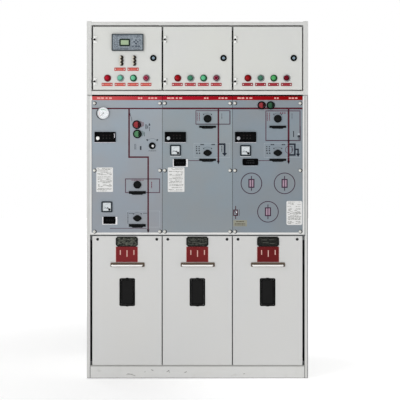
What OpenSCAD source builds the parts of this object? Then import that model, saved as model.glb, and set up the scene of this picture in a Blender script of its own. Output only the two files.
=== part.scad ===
// Three-bay metal-enclosed ring main unit with a low-voltage control box on top.
// The front faces -Y, Z is up, and the origin is on the floor at the middle of the plan.

/* [Cabinet] */
// Width of one switchgear bay
bay_w = 325; // [310:1:360]
// Width of the corner post at each side of the bays
post_w = 25; // [22:0.5:30]
// Depth of the switchgear cabinet, front to back
depth = 765; // [640:5:900]
// Thickness of the folded sheet steel
sheet = 2; // [1.5:0.25:2.5]
// Height of the open slot between one front piece and the next
seam = 6; // [4:0.5:8]

/* [Front, from the floor up] */
// Height of the plinth panel
plinth_h = 55; // [45:1:100]
// Height of a cable compartment cover
cover_h = 598; // [560:1:640]
// Bare steel margin below the operating panel's printed plate
margin_h = 10; // [6:1:16]
// Height of the printed plate of the operating panel
plate_h = 613; // [600:1:660]
// Height of the coloured strip above the printed plate
strip_h = 18; // [12:1:30]
// Height of the control box's sill
sill_h = 18; // [14:1:30]
// Height of a control box door
door_h = 293; // [285:1:340]
// Height of the control box's head rail
head_h = 16; // [12:1:30]

/* [Control box] */
// Depth of the control box on top of the cabinet
box_depth = 400; // [300:5:560]
// Depth of a door pan
door_t = 20; // [16:1:24]
// Gap beside a door
door_gap = 5.5; // [5:0.25:7]
// Space from a closed door's back to the stop flanges
stop_gap = 8; // [7:0.5:12]
// Width of a stop flange that shows behind the doors
stop_w = 20; // [16:1:24]

/* [Door hinges] */
// Distance of a hinge pin from its door's left edge
pin_inset = 11.75; // [10:0.25:16]
// Distance of a hinge pin in front of the door's face
pin_out = 4; // [4:0.25:6]
// Radius of a hinge pin
pin_r = 2; // [1.5:0.25:2.5]
// Clearance round a hinge pin in its eye
pin_fit = 0.08; // [0.05:0.01:0.1]
// Width of a hinge block
hinge_w = 16; // [14:1:20]
// Height of a hinge block
hinge_h = 30; // [26:1:40]
// Height of the fixed eye between a hinge's two lugs
eye_h = 10; // [8:1:14]
// Height of the lower hinge above the door's bottom edge
hinge_low = 38; // [30:1:80]
// Distance of the upper hinge below the door's top edge
hinge_high = 61; // [30:1:80]

/* [Door equipment] */
// Radius of a lamp's or button's bezel
bezel_r = 16; // [14:0.5:18]
// Radius of a lamp's or button's barrel behind the door
barrel_r = 11; // [10:0.25:11]
// How far a lamp or button stands in front of the door
pilot_out = 12; // [8:0.5:12]
// Height of the row of lamps and buttons above the door's bottom edge
pilot_z = 53.5; // [40:0.5:80]
// Distance between two lamps or buttons
pilot_pitch = 60; // [45:1:60]
// Width of the relay's front
relay_w = 147; // [120:1:160]
// Height of the relay's front
relay_h = 81; // [60:1:90]
// Depth of the relay's body behind the door
relay_d = 100; // [60:1:120]
// Radius of a door lock's ring
lock_r = 14; // [12:0.5:16]

/* [Operating panel] */
// Width of a voltage indicator
indicator_w = 98; // [80:1:100]
// Height of a voltage indicator
indicator_h = 46; // [36:1:48]
// Side of a square panel meter
meter_w = 50; // [40:1:56]
// Radius of the pressure gauge
gauge_r = 28; // [24:0.5:32]
// Outer radius of a lever socket's collar
socket_r = 18; // [15:0.5:20]
// Outer radius of an earthing socket's collar
earthing_r = 15; // [12:0.5:17]
// Radius of a mechanical push-button's collar
button_r = 20; // [16:0.5:21]
// Radius of a domed panel screw
screw_r = 8.5; // [6:0.5:10]

/* [Cable compartment covers] */
// Gap between two covers
cover_gap = 3; // [2:0.5:5]
// Depth of a cover pan
cover_t = 25; // [20:1:30]
// Width of a viewing window
window_w = 67; // [50:1:90]
// Height of a viewing window
window_h = 124; // [80:1:140]
// Distance between the bent ends of a lifting handle
handle_w = 141; // [120:1:180]
// Diameter of a lifting handle's bar
handle_d = 10; // [8:0.5:14]
// Width of a lock plate
lock_plate_w = 100; // [80:1:120]
// Height of a lock plate
lock_plate_h = 45; // [36:1:50]

/* [Base] */
// Width of a base runner's bottom flange
runner_w = 60; // [50:1:80]
// Thickness of the base frame's steel
runner_t = 3; // [2.5:0.5:5]
// Radius of a floor bolt hole
bolt_r = 7; // [5:0.5:9]
// Distance of the floor bolt holes from the cabinet's front and back
bolt_inset = 60; // [40:1:120]

/* [Hidden] */
$fn = 48;

BAYS = [0, 1, 2];
// Fine seam between two plates or panels that lie edge to edge
plate_seam = 0.5;
bays_w = 3 * bay_w;
width = bays_w + 2 * post_w;
front = -depth / 2;
back = depth / 2;

// Levels of the front, from the floor up
z_cover = plinth_h + seam;
z_cover_top = z_cover + cover_h;
z_panel = z_cover_top + seam;
z_plate = z_panel + margin_h;
z_strip = z_plate + plate_h;
z_panel_top = z_strip + strip_h;
z_sill = z_panel_top + seam;
z_door = z_sill + sill_h + seam;
z_door_top = z_door + door_h;
z_head = z_door_top + seam;
z_box_roof = z_head + head_h;
lip_h = 3;
z_top = z_box_roof + lip_h;
z_box = z_sill;
z_roof = z_box - sheet;

// Corner posts: a light outer band, then a joggled inner flange behind the panels
post_band = 10;
post_face = 16;
joggle_w = 30;

// Doors
door_w = bay_w - door_gap;
box_post = post_w - door_gap / 2;
stop_y = door_t + stop_gap;
lug_gap = 0.5;
arm_t = 2.5;
arm_eye_r = 3.5;
stop_low = z_door + stop_w - seam;
stop_high = z_door_top - stop_w + seam;
hinge_levels = [z_door + hinge_low, z_door_top - hinge_high];

function bay_x(bay) = (bay - 1) * bay_w;
function bay_left(bay) = bay_x(bay) - bay_w / 2;
function pin_x(bay) = bay_x(bay) - door_w / 2 + pin_inset;

// A block from its low and high corners, with y counted back from the cabinet's front plane
module block(x, y, z) {
    translate([x[0], front + y[0], z[0]]) cube([x[1] - x[0], y[1] - y[0], z[1] - z[0]]);
}

// A block centred on x and z that starts on the plane y and runs back by thickness t
module plaque(x, z, w, h, y, t) {
    block([x - w / 2, x + w / 2], [y, y + t], [z - h / 2, z + h / 2]);
}

// A round bar along Y, centred on x and z, from the plane y back by length t
module stud(x, z, r, y, t) {
    translate([x, front + y, z]) rotate([-90, 0, 0]) cylinder(r = r, h = t);
}

// A sheet pan that is open at the back
module pan(x, y, z) {
    difference() {
        block(x, y, z);
        block([x[0] + sheet, x[1] - sheet], [y[0] + sheet, y[1] + 1], [z[0] + sheet, z[1] - sheet]);
    }
}

// ---------- base ----------

module base_runner() {
    edge = width / 2 - sheet;
    difference() {
        union() {
            block([edge - runner_w, edge], [sheet, depth - sheet], [0, runner_t]);
            block([edge - runner_t, edge], [sheet, depth - sheet], [0, plinth_h - sheet]);
        }
        for (y = [bolt_inset, depth - bolt_inset])
            translate([edge - runner_w / 2, front + y, -1]) cylinder(r = bolt_r, h = runner_t + 2);
    }
}

module base_runners() {
    color("dimgray") {
        base_runner();
        mirror([1, 0, 0]) base_runner();
    }
}

module base_crossbars() {
    span = width / 2 - sheet - runner_t;
    color("dimgray") for (y = [sheet, depth - sheet - runner_t])
        block([-span, span], [y, y + runner_t], [runner_t, plinth_h - sheet]);
}

module floor_plate() {
    half = width / 2 - sheet;
    color("silver") block([-half, half], [sheet, depth - sheet], [plinth_h - sheet, plinth_h]);
}

module plinth_panel() {
    half = width / 2 - post_face;
    color("gainsboro") block([-half, half], [0, sheet], [0, plinth_h]);
}

// ---------- switchgear cabinet ----------

module side_panel() {
    edge = width / 2;
    color("gainsboro") {
        block([edge - sheet, edge], [0, depth], [0, z_roof]);
        // Front flange: full width beside the cover, joggled back beside the operating panel
        block([edge - post_face, edge], [0, sheet], [0, z_panel - seam]);
        block([edge - post_band, edge], [0, sheet], [z_panel - seam, z_roof]);
        block([edge - joggle_w, edge - post_band + sheet], [sheet, 2 * sheet], [z_panel, z_roof]);
    }
}

module left_side_panel() {
    mirror([1, 0, 0]) side_panel();
}

module right_side_panel() {
    side_panel();
}

module rear_panel() {
    half = width / 2 - sheet;
    color("gainsboro") block([-half, half], [depth - sheet, depth], [0, z_roof]);
}

// The roof's front edge is folded down behind the operating panels' top edges
roof_fold_y = 14;
roof_fold_h = 40;

module roof_panel() {
    half = width / 2;
    color("gainsboro") {
        block([-half, half], [roof_fold_y, depth], [z_roof, z_box]);
        block([sheet - half, half - sheet], [roof_fold_y, roof_fold_y + sheet],
              [z_roof - roof_fold_h, z_roof]);
    }
}

// Sheets between the bays, flanged behind the joint of two operating panels
module bay_dividers() {
    flange = 30;
    low = z_panel + sheet;
    high = z_roof - roof_fold_h;
    color("silver") for (side = [-1, 1]) translate([side * bay_w / 2, 0, 0]) {
        block([-sheet / 2, sheet / 2], [cover_t + sheet, depth - sheet], [plinth_h, high]);
        block([-sheet / 2, sheet / 2], [2 * sheet, cover_t + sheet], [low, high]);
        block([-flange / 2, flange / 2], [sheet, 2 * sheet], [low, high]);
    }
}

// Upper rail, which the covers hang on and the operating panels stand on, and lower rail
module cover_rails() {
    half = width / 2 - sheet;
    rail_lap = 20;
    color("silver") {
        block([-half, half], [cover_t, cover_t + sheet], [z_cover_top - rail_lap, z_panel + sheet]);
        block([-half, half], [2 * sheet, cover_t], [z_panel, z_panel + sheet]);
        block([-half, half], [cover_t, cover_t + sheet], [plinth_h, plinth_h + rail_lap]);
    }
}

// ---------- operating panels ----------

// The outer panels run on to the joggled flanges of the corner posts
module front_panel(bay) {
    x = bay_x(bay);
    left = bay == 0 ? post_w - post_face : -plate_seam / 2;
    right = bay == 2 ? post_w - post_face : -plate_seam / 2;
    color("lightgray")
        block([x - bay_w / 2 - left, x + bay_w / 2 + right], [0, sheet], [z_panel, z_panel_top]);
}

// Printed plates and the equipment that stands on them
plate_t = 1;
plate_front = -plate_t;

module mimic_plates() {
    color([0.57, 0.61, 0.64]) for (bay = BAYS)
        plaque(bay_x(bay), z_plate + plate_h / 2, bay_w - plate_seam, plate_h, plate_front, plate_t);
}

module red_strips() {
    color([0.68, 0.1, 0.15]) for (bay = BAYS)
        plaque(bay_x(bay), z_strip + strip_h / 2, bay_w - plate_seam, strip_h - plate_seam,
               plate_front, plate_t);
}

// A flat fitting of thickness t on the printed plate
module fitting(x, z, w, h, t) {
    plaque(x, z, w, h, plate_front - t, t);
}

// A round fitting of height t on the printed plate
module boss(x, z, r, t) {
    stud(x, z, r, plate_front - t, t);
}

// Domed screws down both edges of each printed plate
screw_inset = 10.5;
screw_drops = [15, 326, plate_h - 4];

module panel_screws() {
    dome_h = screw_r * 0.55;
    dome_r = (screw_r * screw_r + dome_h * dome_h) / (2 * dome_h);
    color("silver") for (bay = BAYS, side = [-1, 1], drop = screw_drops)
        translate([bay_x(bay) + side * (bay_w / 2 - screw_inset), front + plate_front, z_strip - drop])
            intersection() {
                translate([0, dome_r - dome_h, 0]) sphere(r = dome_r);
                rotate([90, 0, 0]) cylinder(r = screw_r, h = screw_r);
            }
}

// Gas pressure gauge at the top of bay 1
gauge_inset = 51.5;
gauge_drop = 61;
gauge_x = bay_left(0) + gauge_inset;
gauge_z = z_strip - gauge_drop;
gauge_h = 8;
gauge_rim = 2.5;
gauge_glass_drop = 2;

module pressure_gauge() {
    color("black") difference() {
        boss(gauge_x, gauge_z, gauge_r, gauge_h);
        stud(gauge_x, gauge_z, gauge_r - gauge_rim, plate_front - gauge_h - 1, gauge_glass_drop + 1);
    }
}

indicator_inset = 60.5;
indicator_drop = 170;
indicator_z = z_strip - indicator_drop;
indicator_out = 6;
knob_r = 8.5;
knob_h = 4;
knob_inset = 16;
knob_drop = 8;

module voltage_indicators() {
    color("black") for (bay = BAYS) {
        x = bay_left(bay) + indicator_inset;
        fitting(x, indicator_z, indicator_w, indicator_h, indicator_out);
        boss(x - indicator_w / 2 + knob_inset, indicator_z - knob_drop, knob_r, indicator_out + knob_h);
    }
}

// Bay 1's drive sits low behind its panel, so its lower fittings keep to the plate's bottom edge.
// The drives of bays 2 and 3 hang from the top, and so do their fittings.
// Both columns keep their distance from the bay's left edge.
low_meter_inset = 68.5;
low_meter_rise = 120;
meter_inset = 60.5;
meter_drop = 231;
low_ready_inset = 81.5;
low_ready_rise = 58;
ready_inset = 82.5;
ready_drop = 288;
meter_places = [
    [low_meter_inset, z_plate + low_meter_rise],
    [meter_inset, z_strip - meter_drop],
    [meter_inset, z_strip - meter_drop]
];
ready_places = [
    [low_ready_inset, z_plate + low_ready_rise],
    [ready_inset, z_strip - ready_drop],
    [ready_inset, z_strip - ready_drop]
];
meter_out = 4;
ready_w = 73;
ready_h = 38;
ready_out = 3;

module panel_meters() {
    color([0.25, 0.3, 0.33]) for (bay = BAYS)
        fitting(bay_left(bay) + meter_places[bay][0], meter_places[bay][1], meter_w, meter_w, meter_out);
}

module ready_indicators() {
    color("black") for (bay = BAYS)
        fitting(bay_left(bay) + ready_places[bay][0], ready_places[bay][1], ready_w, ready_h, ready_out);
}

// Sockets for the operating lever: the switch above, its earthing switch below
socket_x = 47;
low_switch_rise = 221;
switch_drop = 86.5;
low_earthing_rise = 66;
earthing_drop = 244.5;
switch_levels = [z_plate + low_switch_rise, z_strip - switch_drop, z_strip - switch_drop];
earthing_levels = [z_plate + low_earthing_rise, z_strip - earthing_drop, z_strip - earthing_drop];
collar_h = 7;
collar_rim = 5;
shutter_drop = 2;

// A collar with its shutter closed: a disc a little below the rim, with a hexagonal boss
module shaft_socket(x, z, r) {
    difference() {
        boss(x, z, r, collar_h);
        stud(x, z, r - collar_rim, plate_front - collar_h - 1, shutter_drop + 1);
    }
    translate([x, front + plate_front - collar_h + shutter_drop, z]) rotate([90, 0, 0])
        cylinder(r = r / 3, h = shutter_drop, $fn = 6);
}

module switch_sockets() {
    color("dimgray") for (bay = BAYS) shaft_socket(bay_x(bay) + socket_x, switch_levels[bay], socket_r);
}

// The earthing switch's sockets are smaller and have an ear at each side
module earthing_sockets() {
    ear_r = 5;
    ear_h = 3;
    color("dimgray") for (bay = BAYS) {
        x = bay_x(bay) + socket_x;
        shaft_socket(x, earthing_levels[bay], earthing_r);
        for (side = [-1, 1]) boss(x + side * (earthing_r + ear_r / 2), earthing_levels[bay], ear_r, ear_h);
    }
}

// Padlock slides, one below each socket, which work its shutter
slide_w = 78;
slide_h = 11;
slide_out = 3;
switch_slide_gap = 15;
earthing_slide_gap = 13;

module padlock_slides() {
    color("gray") for (bay = BAYS) {
        x = bay_x(bay) + socket_x;
        switch_z = switch_levels[bay] - socket_r - switch_slide_gap - slide_h / 2;
        earthing_z = earthing_levels[bay] - earthing_r - earthing_slide_gap - slide_h / 2;
        fitting(x, switch_z, slide_w, slide_h, slide_out);
        fitting(x, earthing_z, slide_w, slide_h, slide_out);
    }
}

// Mechanical push-buttons: x, height, collar radius and colour
button_h = 5;
button_rim = 5;
button_fit = 1;
button_out = 2;
small_button_step = 2.5;
small_button_r = button_r - small_button_step;
open_x = 44;
open_drop = 114;
close_x = 47;
close_drop = 157;
fuse_open_x = -28;
fuse_close_x = 14;
fuse_button_drop = 24.5;
mech_buttons = [
    [bay_x(0) + open_x, z_strip - open_drop, button_r, "firebrick"],
    [bay_x(0) + close_x, z_strip - close_drop, button_r, "seagreen"],
    [bay_x(2) + fuse_open_x, z_strip - fuse_button_drop, small_button_r, "firebrick"],
    [bay_x(2) + fuse_close_x, z_strip - fuse_button_drop, small_button_r, "seagreen"]
];

module mechanical_buttons() {
    for (b = mech_buttons) {
        color("black") difference() {
            boss(b[0], b[1], b[2], button_h);
            stud(b[0], b[1], b[2] - button_rim, plate_front - button_h - 1, button_h);
        }
        color(b[3]) boss(b[0], b[1], b[2] - button_rim - button_fit, button_h + button_out);
    }
}

// Key-operated selector of the breaker's drive
selector_u = 116;
selector_drop = 211.5;
selector_x = bay_x(0) + selector_u;
selector_z = z_strip - selector_drop;
selector_r = 15;
selector_h = 4;
cylinder_r = 8;

module key_selector() {
    color("black") boss(selector_x, selector_z, selector_r, selector_h);
    color("silver") stud(selector_x, selector_z, cylinder_r, plate_front - selector_h - 2, 2);
}

// ---------- cable compartment covers ----------

cover_w = bay_w - cover_gap;
window_rise = 338;
window_z = z_cover + window_rise;
pane_lap = 5;
pane_t = 3;
handle_drop = 136.5;
handle_z = z_cover_top - handle_drop;
handle_out = 34;
handle_bend = 14;
lock_plate_drop = 26.5;
lock_plate_z = z_cover_top - lock_plate_drop;
lock_plate_t = 5;
lock_plate_cut = 9;
red_plate_h = 71;
red_plate_t = 1.5;
cover_screw_r = 6.5;
cover_screw_out = 3;
cover_screw_inset = 25.5;
cover_screw_drop = 15.5;

module cable_cover(bay) {
    x = bay_x(bay);
    color("gainsboro") difference() {
        pan([x - cover_w / 2, x + cover_w / 2], [0, cover_t], [z_cover, z_cover_top]);
        plaque(x, window_z, window_w - 2 * pane_lap, window_h - 2 * pane_lap, -1, sheet + 2);
    }
}

// A round bar bent at both ends into the cover
module cover_handle(bay) {
    r = handle_d / 2;
    bar_y = r - handle_out;
    translate([bay_x(bay), front, handle_z]) {
        translate([handle_bend - handle_w / 2, bar_y, 0]) rotate([0, 90, 0])
            cylinder(r = r, h = handle_w - 2 * handle_bend);
        for (side = [0, 1]) mirror([side, 0, 0]) {
            translate([handle_w / 2 - handle_bend, bar_y + handle_bend, 0]) rotate([0, 0, -90])
                rotate_extrude(angle = 90) translate([handle_bend, 0]) circle(r = r);
            translate([handle_w / 2, bar_y + handle_bend, 0]) rotate([-90, 0, 0])
                cylinder(r = r, h = -bar_y - handle_bend);
        }
    }
}

module cover_handles() {
    color("white") for (bay = BAYS) cover_handle(bay);
}

// Panes behind the covers' cut-outs, lapping them all round
module viewing_windows() {
    color([0.15, 0.15, 0.15]) for (bay = BAYS)
        plaque(bay_x(bay), window_z, window_w, window_h, sheet, pane_t);
}

// Eight-sided raised plate round the cover's lock
module lock_plate(bay) {
    w = lock_plate_w / 2;
    h = lock_plate_h / 2;
    wc = w - lock_plate_cut;
    hc = h - lock_plate_cut;
    translate([bay_x(bay), front, lock_plate_z]) rotate([90, 0, 0]) linear_extrude(lock_plate_t)
        polygon([[-w, -hc], [-wc, -h], [wc, -h], [w, -hc], [w, hc], [wc, h], [-wc, h], [-w, hc]]);
}

module lock_plates() {
    color("dimgray") for (bay = BAYS) lock_plate(bay);
}

module red_plates() {
    z = lock_plate_z - lock_plate_h / 2 - red_plate_h / 2;
    color([0.45, 0.15, 0.15]) for (bay = BAYS)
        plaque(bay_x(bay), z, lock_plate_w, red_plate_h - plate_seam, -red_plate_t, red_plate_t);
}

module cover_screws() {
    color("dimgray") for (bay = BAYS, side = [-1, 1])
        stud(bay_x(bay) + side * (bay_w / 2 - cover_screw_inset), z_cover_top - cover_screw_drop,
             cover_screw_r, -cover_screw_out, cover_screw_out);
}

// ---------- control box ----------

module box_side() {
    edge = width / 2;
    inner = edge - box_post;
    color("gainsboro") {
        block([edge - sheet, edge], [0, box_depth], [z_box, z_top]);
        block([inner, edge], [0, sheet], [z_box, z_top]);
        block([inner, inner + sheet], [sheet, stop_y + sheet], [z_box, z_box_roof - sheet]);
        block([inner - stop_w + door_gap, inner + sheet], [stop_y, stop_y + sheet], [stop_low, stop_high]);
    }
}

module box_left_side() {
    mirror([1, 0, 0]) box_side();
}

module box_right_side() {
    box_side();
}

module box_roof() {
    half = width / 2 - sheet;
    inner = width / 2 - box_post;
    color("gainsboro") {
        block([-half, half], [sheet, box_depth - sheet], [z_box_roof - sheet, z_box_roof]);
        block([-inner, inner], [0, sheet], [z_box_roof - sheet, z_box_roof]);
    }
}

module box_floor() {
    half = width / 2 - box_post;
    color("gainsboro")
        block([-half, half], [stop_y + sheet, box_depth - sheet], [z_box, z_box + sheet]);
}

module box_back() {
    half = width / 2 - sheet;
    color("gainsboro")
        block([-half, half], [box_depth - sheet, box_depth], [z_box, z_box_roof]);
}

// Sill and head rail: a front strip, a return and a stop flange behind the doors
module box_sill() {
    half = width / 2 - box_post;
    top = z_sill + sill_h;
    color("gainsboro") {
        block([-half, half], [0, sheet], [z_sill, top]);
        block([-half, half], [sheet, stop_y], [top - sheet, top]);
        block([-half, half], [stop_y, stop_y + sheet], [z_box, stop_low]);
    }
}

module box_head_rail() {
    half = width / 2 - box_post;
    color("gainsboro") {
        block([-half, half], [0, sheet], [z_head, z_box_roof - sheet]);
        block([-half, half], [sheet, stop_y], [z_head, z_head + sheet]);
        block([-half, half], [stop_y, stop_y + sheet], [stop_high, z_box_roof - sheet]);
    }
}

module box_mullions() {
    rib = 30;
    color("silver") for (side = [-1, 1]) translate([side * bay_w / 2, 0, 0]) {
        block([-stop_w, stop_w], [stop_y, stop_y + sheet], [stop_low, stop_high]);
        block([-sheet / 2, sheet / 2], [stop_y + sheet, stop_y + sheet + rib], [stop_low, stop_high]);
    }
}

// Mounting plate on spacers from the box's back, with two rails for terminals
spacer_l = 40;
spacer_r = 6;
plate_margin = 30;
mount_y = box_depth - sheet - spacer_l - sheet;
rail_h = 35;
rail_t = 7.5;

module mounting_plate() {
    half_w = bays_w / 2 - plate_margin / 2;
    low = z_box + plate_margin;
    high = z_box_roof - plate_margin;
    inset = plate_margin / 2;
    color("silver") {
        block([-half_w, half_w], [mount_y, mount_y + sheet], [low, high]);
        for (x = [inset - half_w, 0, half_w - inset], z = [low + inset, high - inset])
            stud(x, z, spacer_r, mount_y + sheet, spacer_l);
    }
}

module terminal_rails() {
    half_w = bays_w / 2 - 2 * plate_margin;
    third = (z_box_roof - z_box) / 3;
    color("lightgray") for (z = [z_box + third, z_box_roof - third])
        block([-half_w, half_w], [mount_y - rail_t, mount_y], [z - rail_h / 2, z + rail_h / 2]);
}

// Fixed hinge arm: from the frame forward through the gap beside the door, then to the pin
module hinge_arm(bay, z) {
    gap_x = bay_x(bay) - door_w / 2 - door_gap / 2;
    x = pin_x(bay);
    low = z - eye_h / 2;
    high = z + eye_h / 2;
    neck_y = -pin_out - arm_eye_r;
    block([gap_x - arm_t / 2, gap_x + arm_t / 2], [neck_y, stop_y], [low, high]);
    difference() {
        union() {
            block([gap_x - arm_t / 2, x], [neck_y, neck_y + arm_t], [low, high]);
            translate([x, front - pin_out, low]) cylinder(r = arm_eye_r, h = eye_h);
        }
        translate([x, front - pin_out, low - 1]) cylinder(r = pin_r + pin_fit, h = eye_h + 2);
    }
}

module hinge_arms() {
    color("dimgray") for (bay = BAYS, z = hinge_levels) hinge_arm(bay, z);
}

// ---------- control box doors ----------

// Places on a door, from its middle line and from its top or bottom edge
first_pilot_x = -91;
door_lock_inset = 38.75;
door_lock_x = door_w / 2 - door_lock_inset;
door_lock_z = z_door + door_h / 2;
lock_barrel_r = 9;
relay_x = 2;
relay_drop = 73.3;
relay_z = z_door_top - relay_drop;
relay_flange = 5;
relay_out = 10;
relay_fit = 0.25;
link_places = [-27, 32];
link_rise = 136;
link_z = z_door + link_rise;
link_barrel_r = 7;
barrel_fit = 0.15;

function pilot_x(bay, i) = bay_x(bay) + first_pilot_x + i * pilot_pitch;

// A round cut through the door's face with a fit round the barrel in it
module barrel_hole(x, z, r) {
    stud(x, z, r + barrel_fit, -1, sheet + 2);
}

module door(bay) {
    x = bay_x(bay);
    relay_cut = 2 * (relay_fit - relay_flange);
    color("gainsboro") difference() {
        pan([x - door_w / 2, x + door_w / 2], [0, door_t], [z_door, z_door_top]);
        for (i = [0:3]) barrel_hole(pilot_x(bay, i), z_door + pilot_z, barrel_r);
        barrel_hole(x + door_lock_x, door_lock_z, lock_barrel_r);
        if (bay == 0) {
            plaque(x + relay_x, relay_z, relay_w + relay_cut, relay_h + relay_cut, -1, sheet + 2);
            for (link_x = link_places) barrel_hole(x + link_x, link_z, link_barrel_r);
        }
    }
}

// Door side of a hinge: two lugs with the pin between them
module door_hinge(bay, z) {
    x = pin_x(bay);
    lug_h = (hinge_h - eye_h) / 2 - lug_gap;
    for (low = [z - hinge_h / 2, z + hinge_h / 2 - lug_h])
        block([x - hinge_w / 2, x + hinge_w / 2], [-2 * pin_out, 0], [low, low + lug_h]);
    translate([x, front - pin_out, z - hinge_h / 2]) cylinder(r = pin_r, h = hinge_h);
}

module door_hinges(bay) {
    color("white") for (z = hinge_levels) door_hinge(bay, z);
}

pilot_colours = ["firebrick", "teal", "mediumspringgreen", "maroon"];
bezel_h = 4;
barrel_l = 45;

module door_pilots(bay) {
    for (i = [0:3]) {
        x = pilot_x(bay, i);
        z = z_door + pilot_z;
        color("silver") stud(x, z, bezel_r, -bezel_h, bezel_h);
        color("dimgray") stud(x, z, barrel_r, 0, barrel_l);
        color(pilot_colours[i]) stud(x, z, barrel_r, -pilot_out, pilot_out - bezel_h);
    }
}

// Cam lock with its cam hanging down, clear of the stop flange
module door_lock(bay) {
    x = bay_x(bay) + door_lock_x;
    lock_out = 4;
    cam_w = 16;
    cam_l = 32;
    cam_t = 3;
    color("black") {
        stud(x, door_lock_z, lock_r, -lock_out, lock_out);
        stud(x, door_lock_z, lock_barrel_r, 0, door_t + cam_t);
        block([x - cam_w / 2, x + cam_w / 2], [door_t, door_t + cam_t], [door_lock_z - cam_l, door_lock_z]);
    }
}

// Protection relay: a flanged front outside the door and its body behind
module relay() {
    x = bay_x(0) + relay_x;
    color([0.4, 0.45, 0.48]) {
        plaque(x, relay_z, relay_w, relay_h, -relay_out, relay_out);
        plaque(x, relay_z, relay_w - 2 * relay_flange, relay_h - 2 * relay_flange, 0, relay_d);
    }
}

// Trip links: a stack of three round lobes on a bar
module trip_links() {
    lobe_r = 9;
    lobe_pitch = 15;
    bar_w = 12;
    bar_h = 40;
    link_out = 8;
    barrel_l = 30;
    color([0.2, 0.2, 0.22]) for (link_x = link_places) {
        x = bay_x(0) + link_x;
        plaque(x, link_z, bar_w, bar_h, -link_out, link_out);
        for (lobe = [-1, 0, 1]) stud(x, link_z + lobe * lobe_pitch, lobe_r, -link_out, link_out);
        stud(x, link_z, link_barrel_r, 0, barrel_l);
    }
}

base_runners();
base_crossbars();
floor_plate();
plinth_panel();
left_side_panel();
right_side_panel();
rear_panel();
roof_panel();
bay_dividers();
cover_rails();
front_panel(0);  // front_panel_1
front_panel(1);  // front_panel_2
front_panel(2);  // front_panel_3
mimic_plates();
red_strips();
panel_screws();
pressure_gauge();
voltage_indicators();
panel_meters();
ready_indicators();
switch_sockets();
earthing_sockets();
padlock_slides();
mechanical_buttons();
key_selector();
cable_cover(0);  // cable_cover_1
cable_cover(1);  // cable_cover_2
cable_cover(2);  // cable_cover_3
cover_handles();
viewing_windows();
lock_plates();
red_plates();
cover_screws();
box_left_side();
box_right_side();
box_roof();
box_floor();
box_back();
box_sill();
box_head_rail();
box_mullions();
mounting_plate();
terminal_rails();
hinge_arms();
door(0);  // door_1
door(1);  // door_2
door(2);  // door_3
door_hinges(0);  // door_hinges_1
door_hinges(1);  // door_hinges_2
door_hinges(2);  // door_hinges_3
door_pilots(0);  // door_pilots_1
door_pilots(1);  // door_pilots_2
door_pilots(2);  // door_pilots_3
door_lock(0);  // door_lock_1
door_lock(1);  // door_lock_2
door_lock(2);  // door_lock_3
relay();
trip_links();
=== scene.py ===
import math
import random

import bmesh
import bpy
from mathutils import Matrix, Vector


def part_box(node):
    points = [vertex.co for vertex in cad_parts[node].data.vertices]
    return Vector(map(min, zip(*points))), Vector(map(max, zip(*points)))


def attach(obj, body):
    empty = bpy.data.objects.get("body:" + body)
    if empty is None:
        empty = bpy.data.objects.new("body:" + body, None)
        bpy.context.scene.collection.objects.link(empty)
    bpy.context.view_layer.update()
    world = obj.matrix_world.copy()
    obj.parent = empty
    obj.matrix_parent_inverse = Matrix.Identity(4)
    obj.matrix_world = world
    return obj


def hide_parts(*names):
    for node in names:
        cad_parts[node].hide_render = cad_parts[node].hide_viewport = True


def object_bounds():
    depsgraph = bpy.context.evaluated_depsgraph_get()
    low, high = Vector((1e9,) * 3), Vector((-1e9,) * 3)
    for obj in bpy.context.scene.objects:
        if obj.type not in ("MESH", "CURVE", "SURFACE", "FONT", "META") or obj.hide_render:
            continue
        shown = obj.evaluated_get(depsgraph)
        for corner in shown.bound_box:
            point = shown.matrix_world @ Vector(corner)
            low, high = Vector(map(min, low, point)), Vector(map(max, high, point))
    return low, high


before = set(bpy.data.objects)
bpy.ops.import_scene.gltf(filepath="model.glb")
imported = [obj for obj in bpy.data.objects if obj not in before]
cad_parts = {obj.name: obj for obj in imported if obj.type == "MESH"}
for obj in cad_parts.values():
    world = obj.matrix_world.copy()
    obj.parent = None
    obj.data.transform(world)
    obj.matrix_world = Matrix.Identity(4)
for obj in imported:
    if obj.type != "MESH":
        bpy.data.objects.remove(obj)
cad_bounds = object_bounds()


# ---- Base frame ------------------------------------------------------------------------------
# Two pressed steel runners with the floor bolt holes, two crossbars between them and a floor
# plate. The runners are primed dark grey, and the floor plate is hot-dip galvanised.

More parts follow.
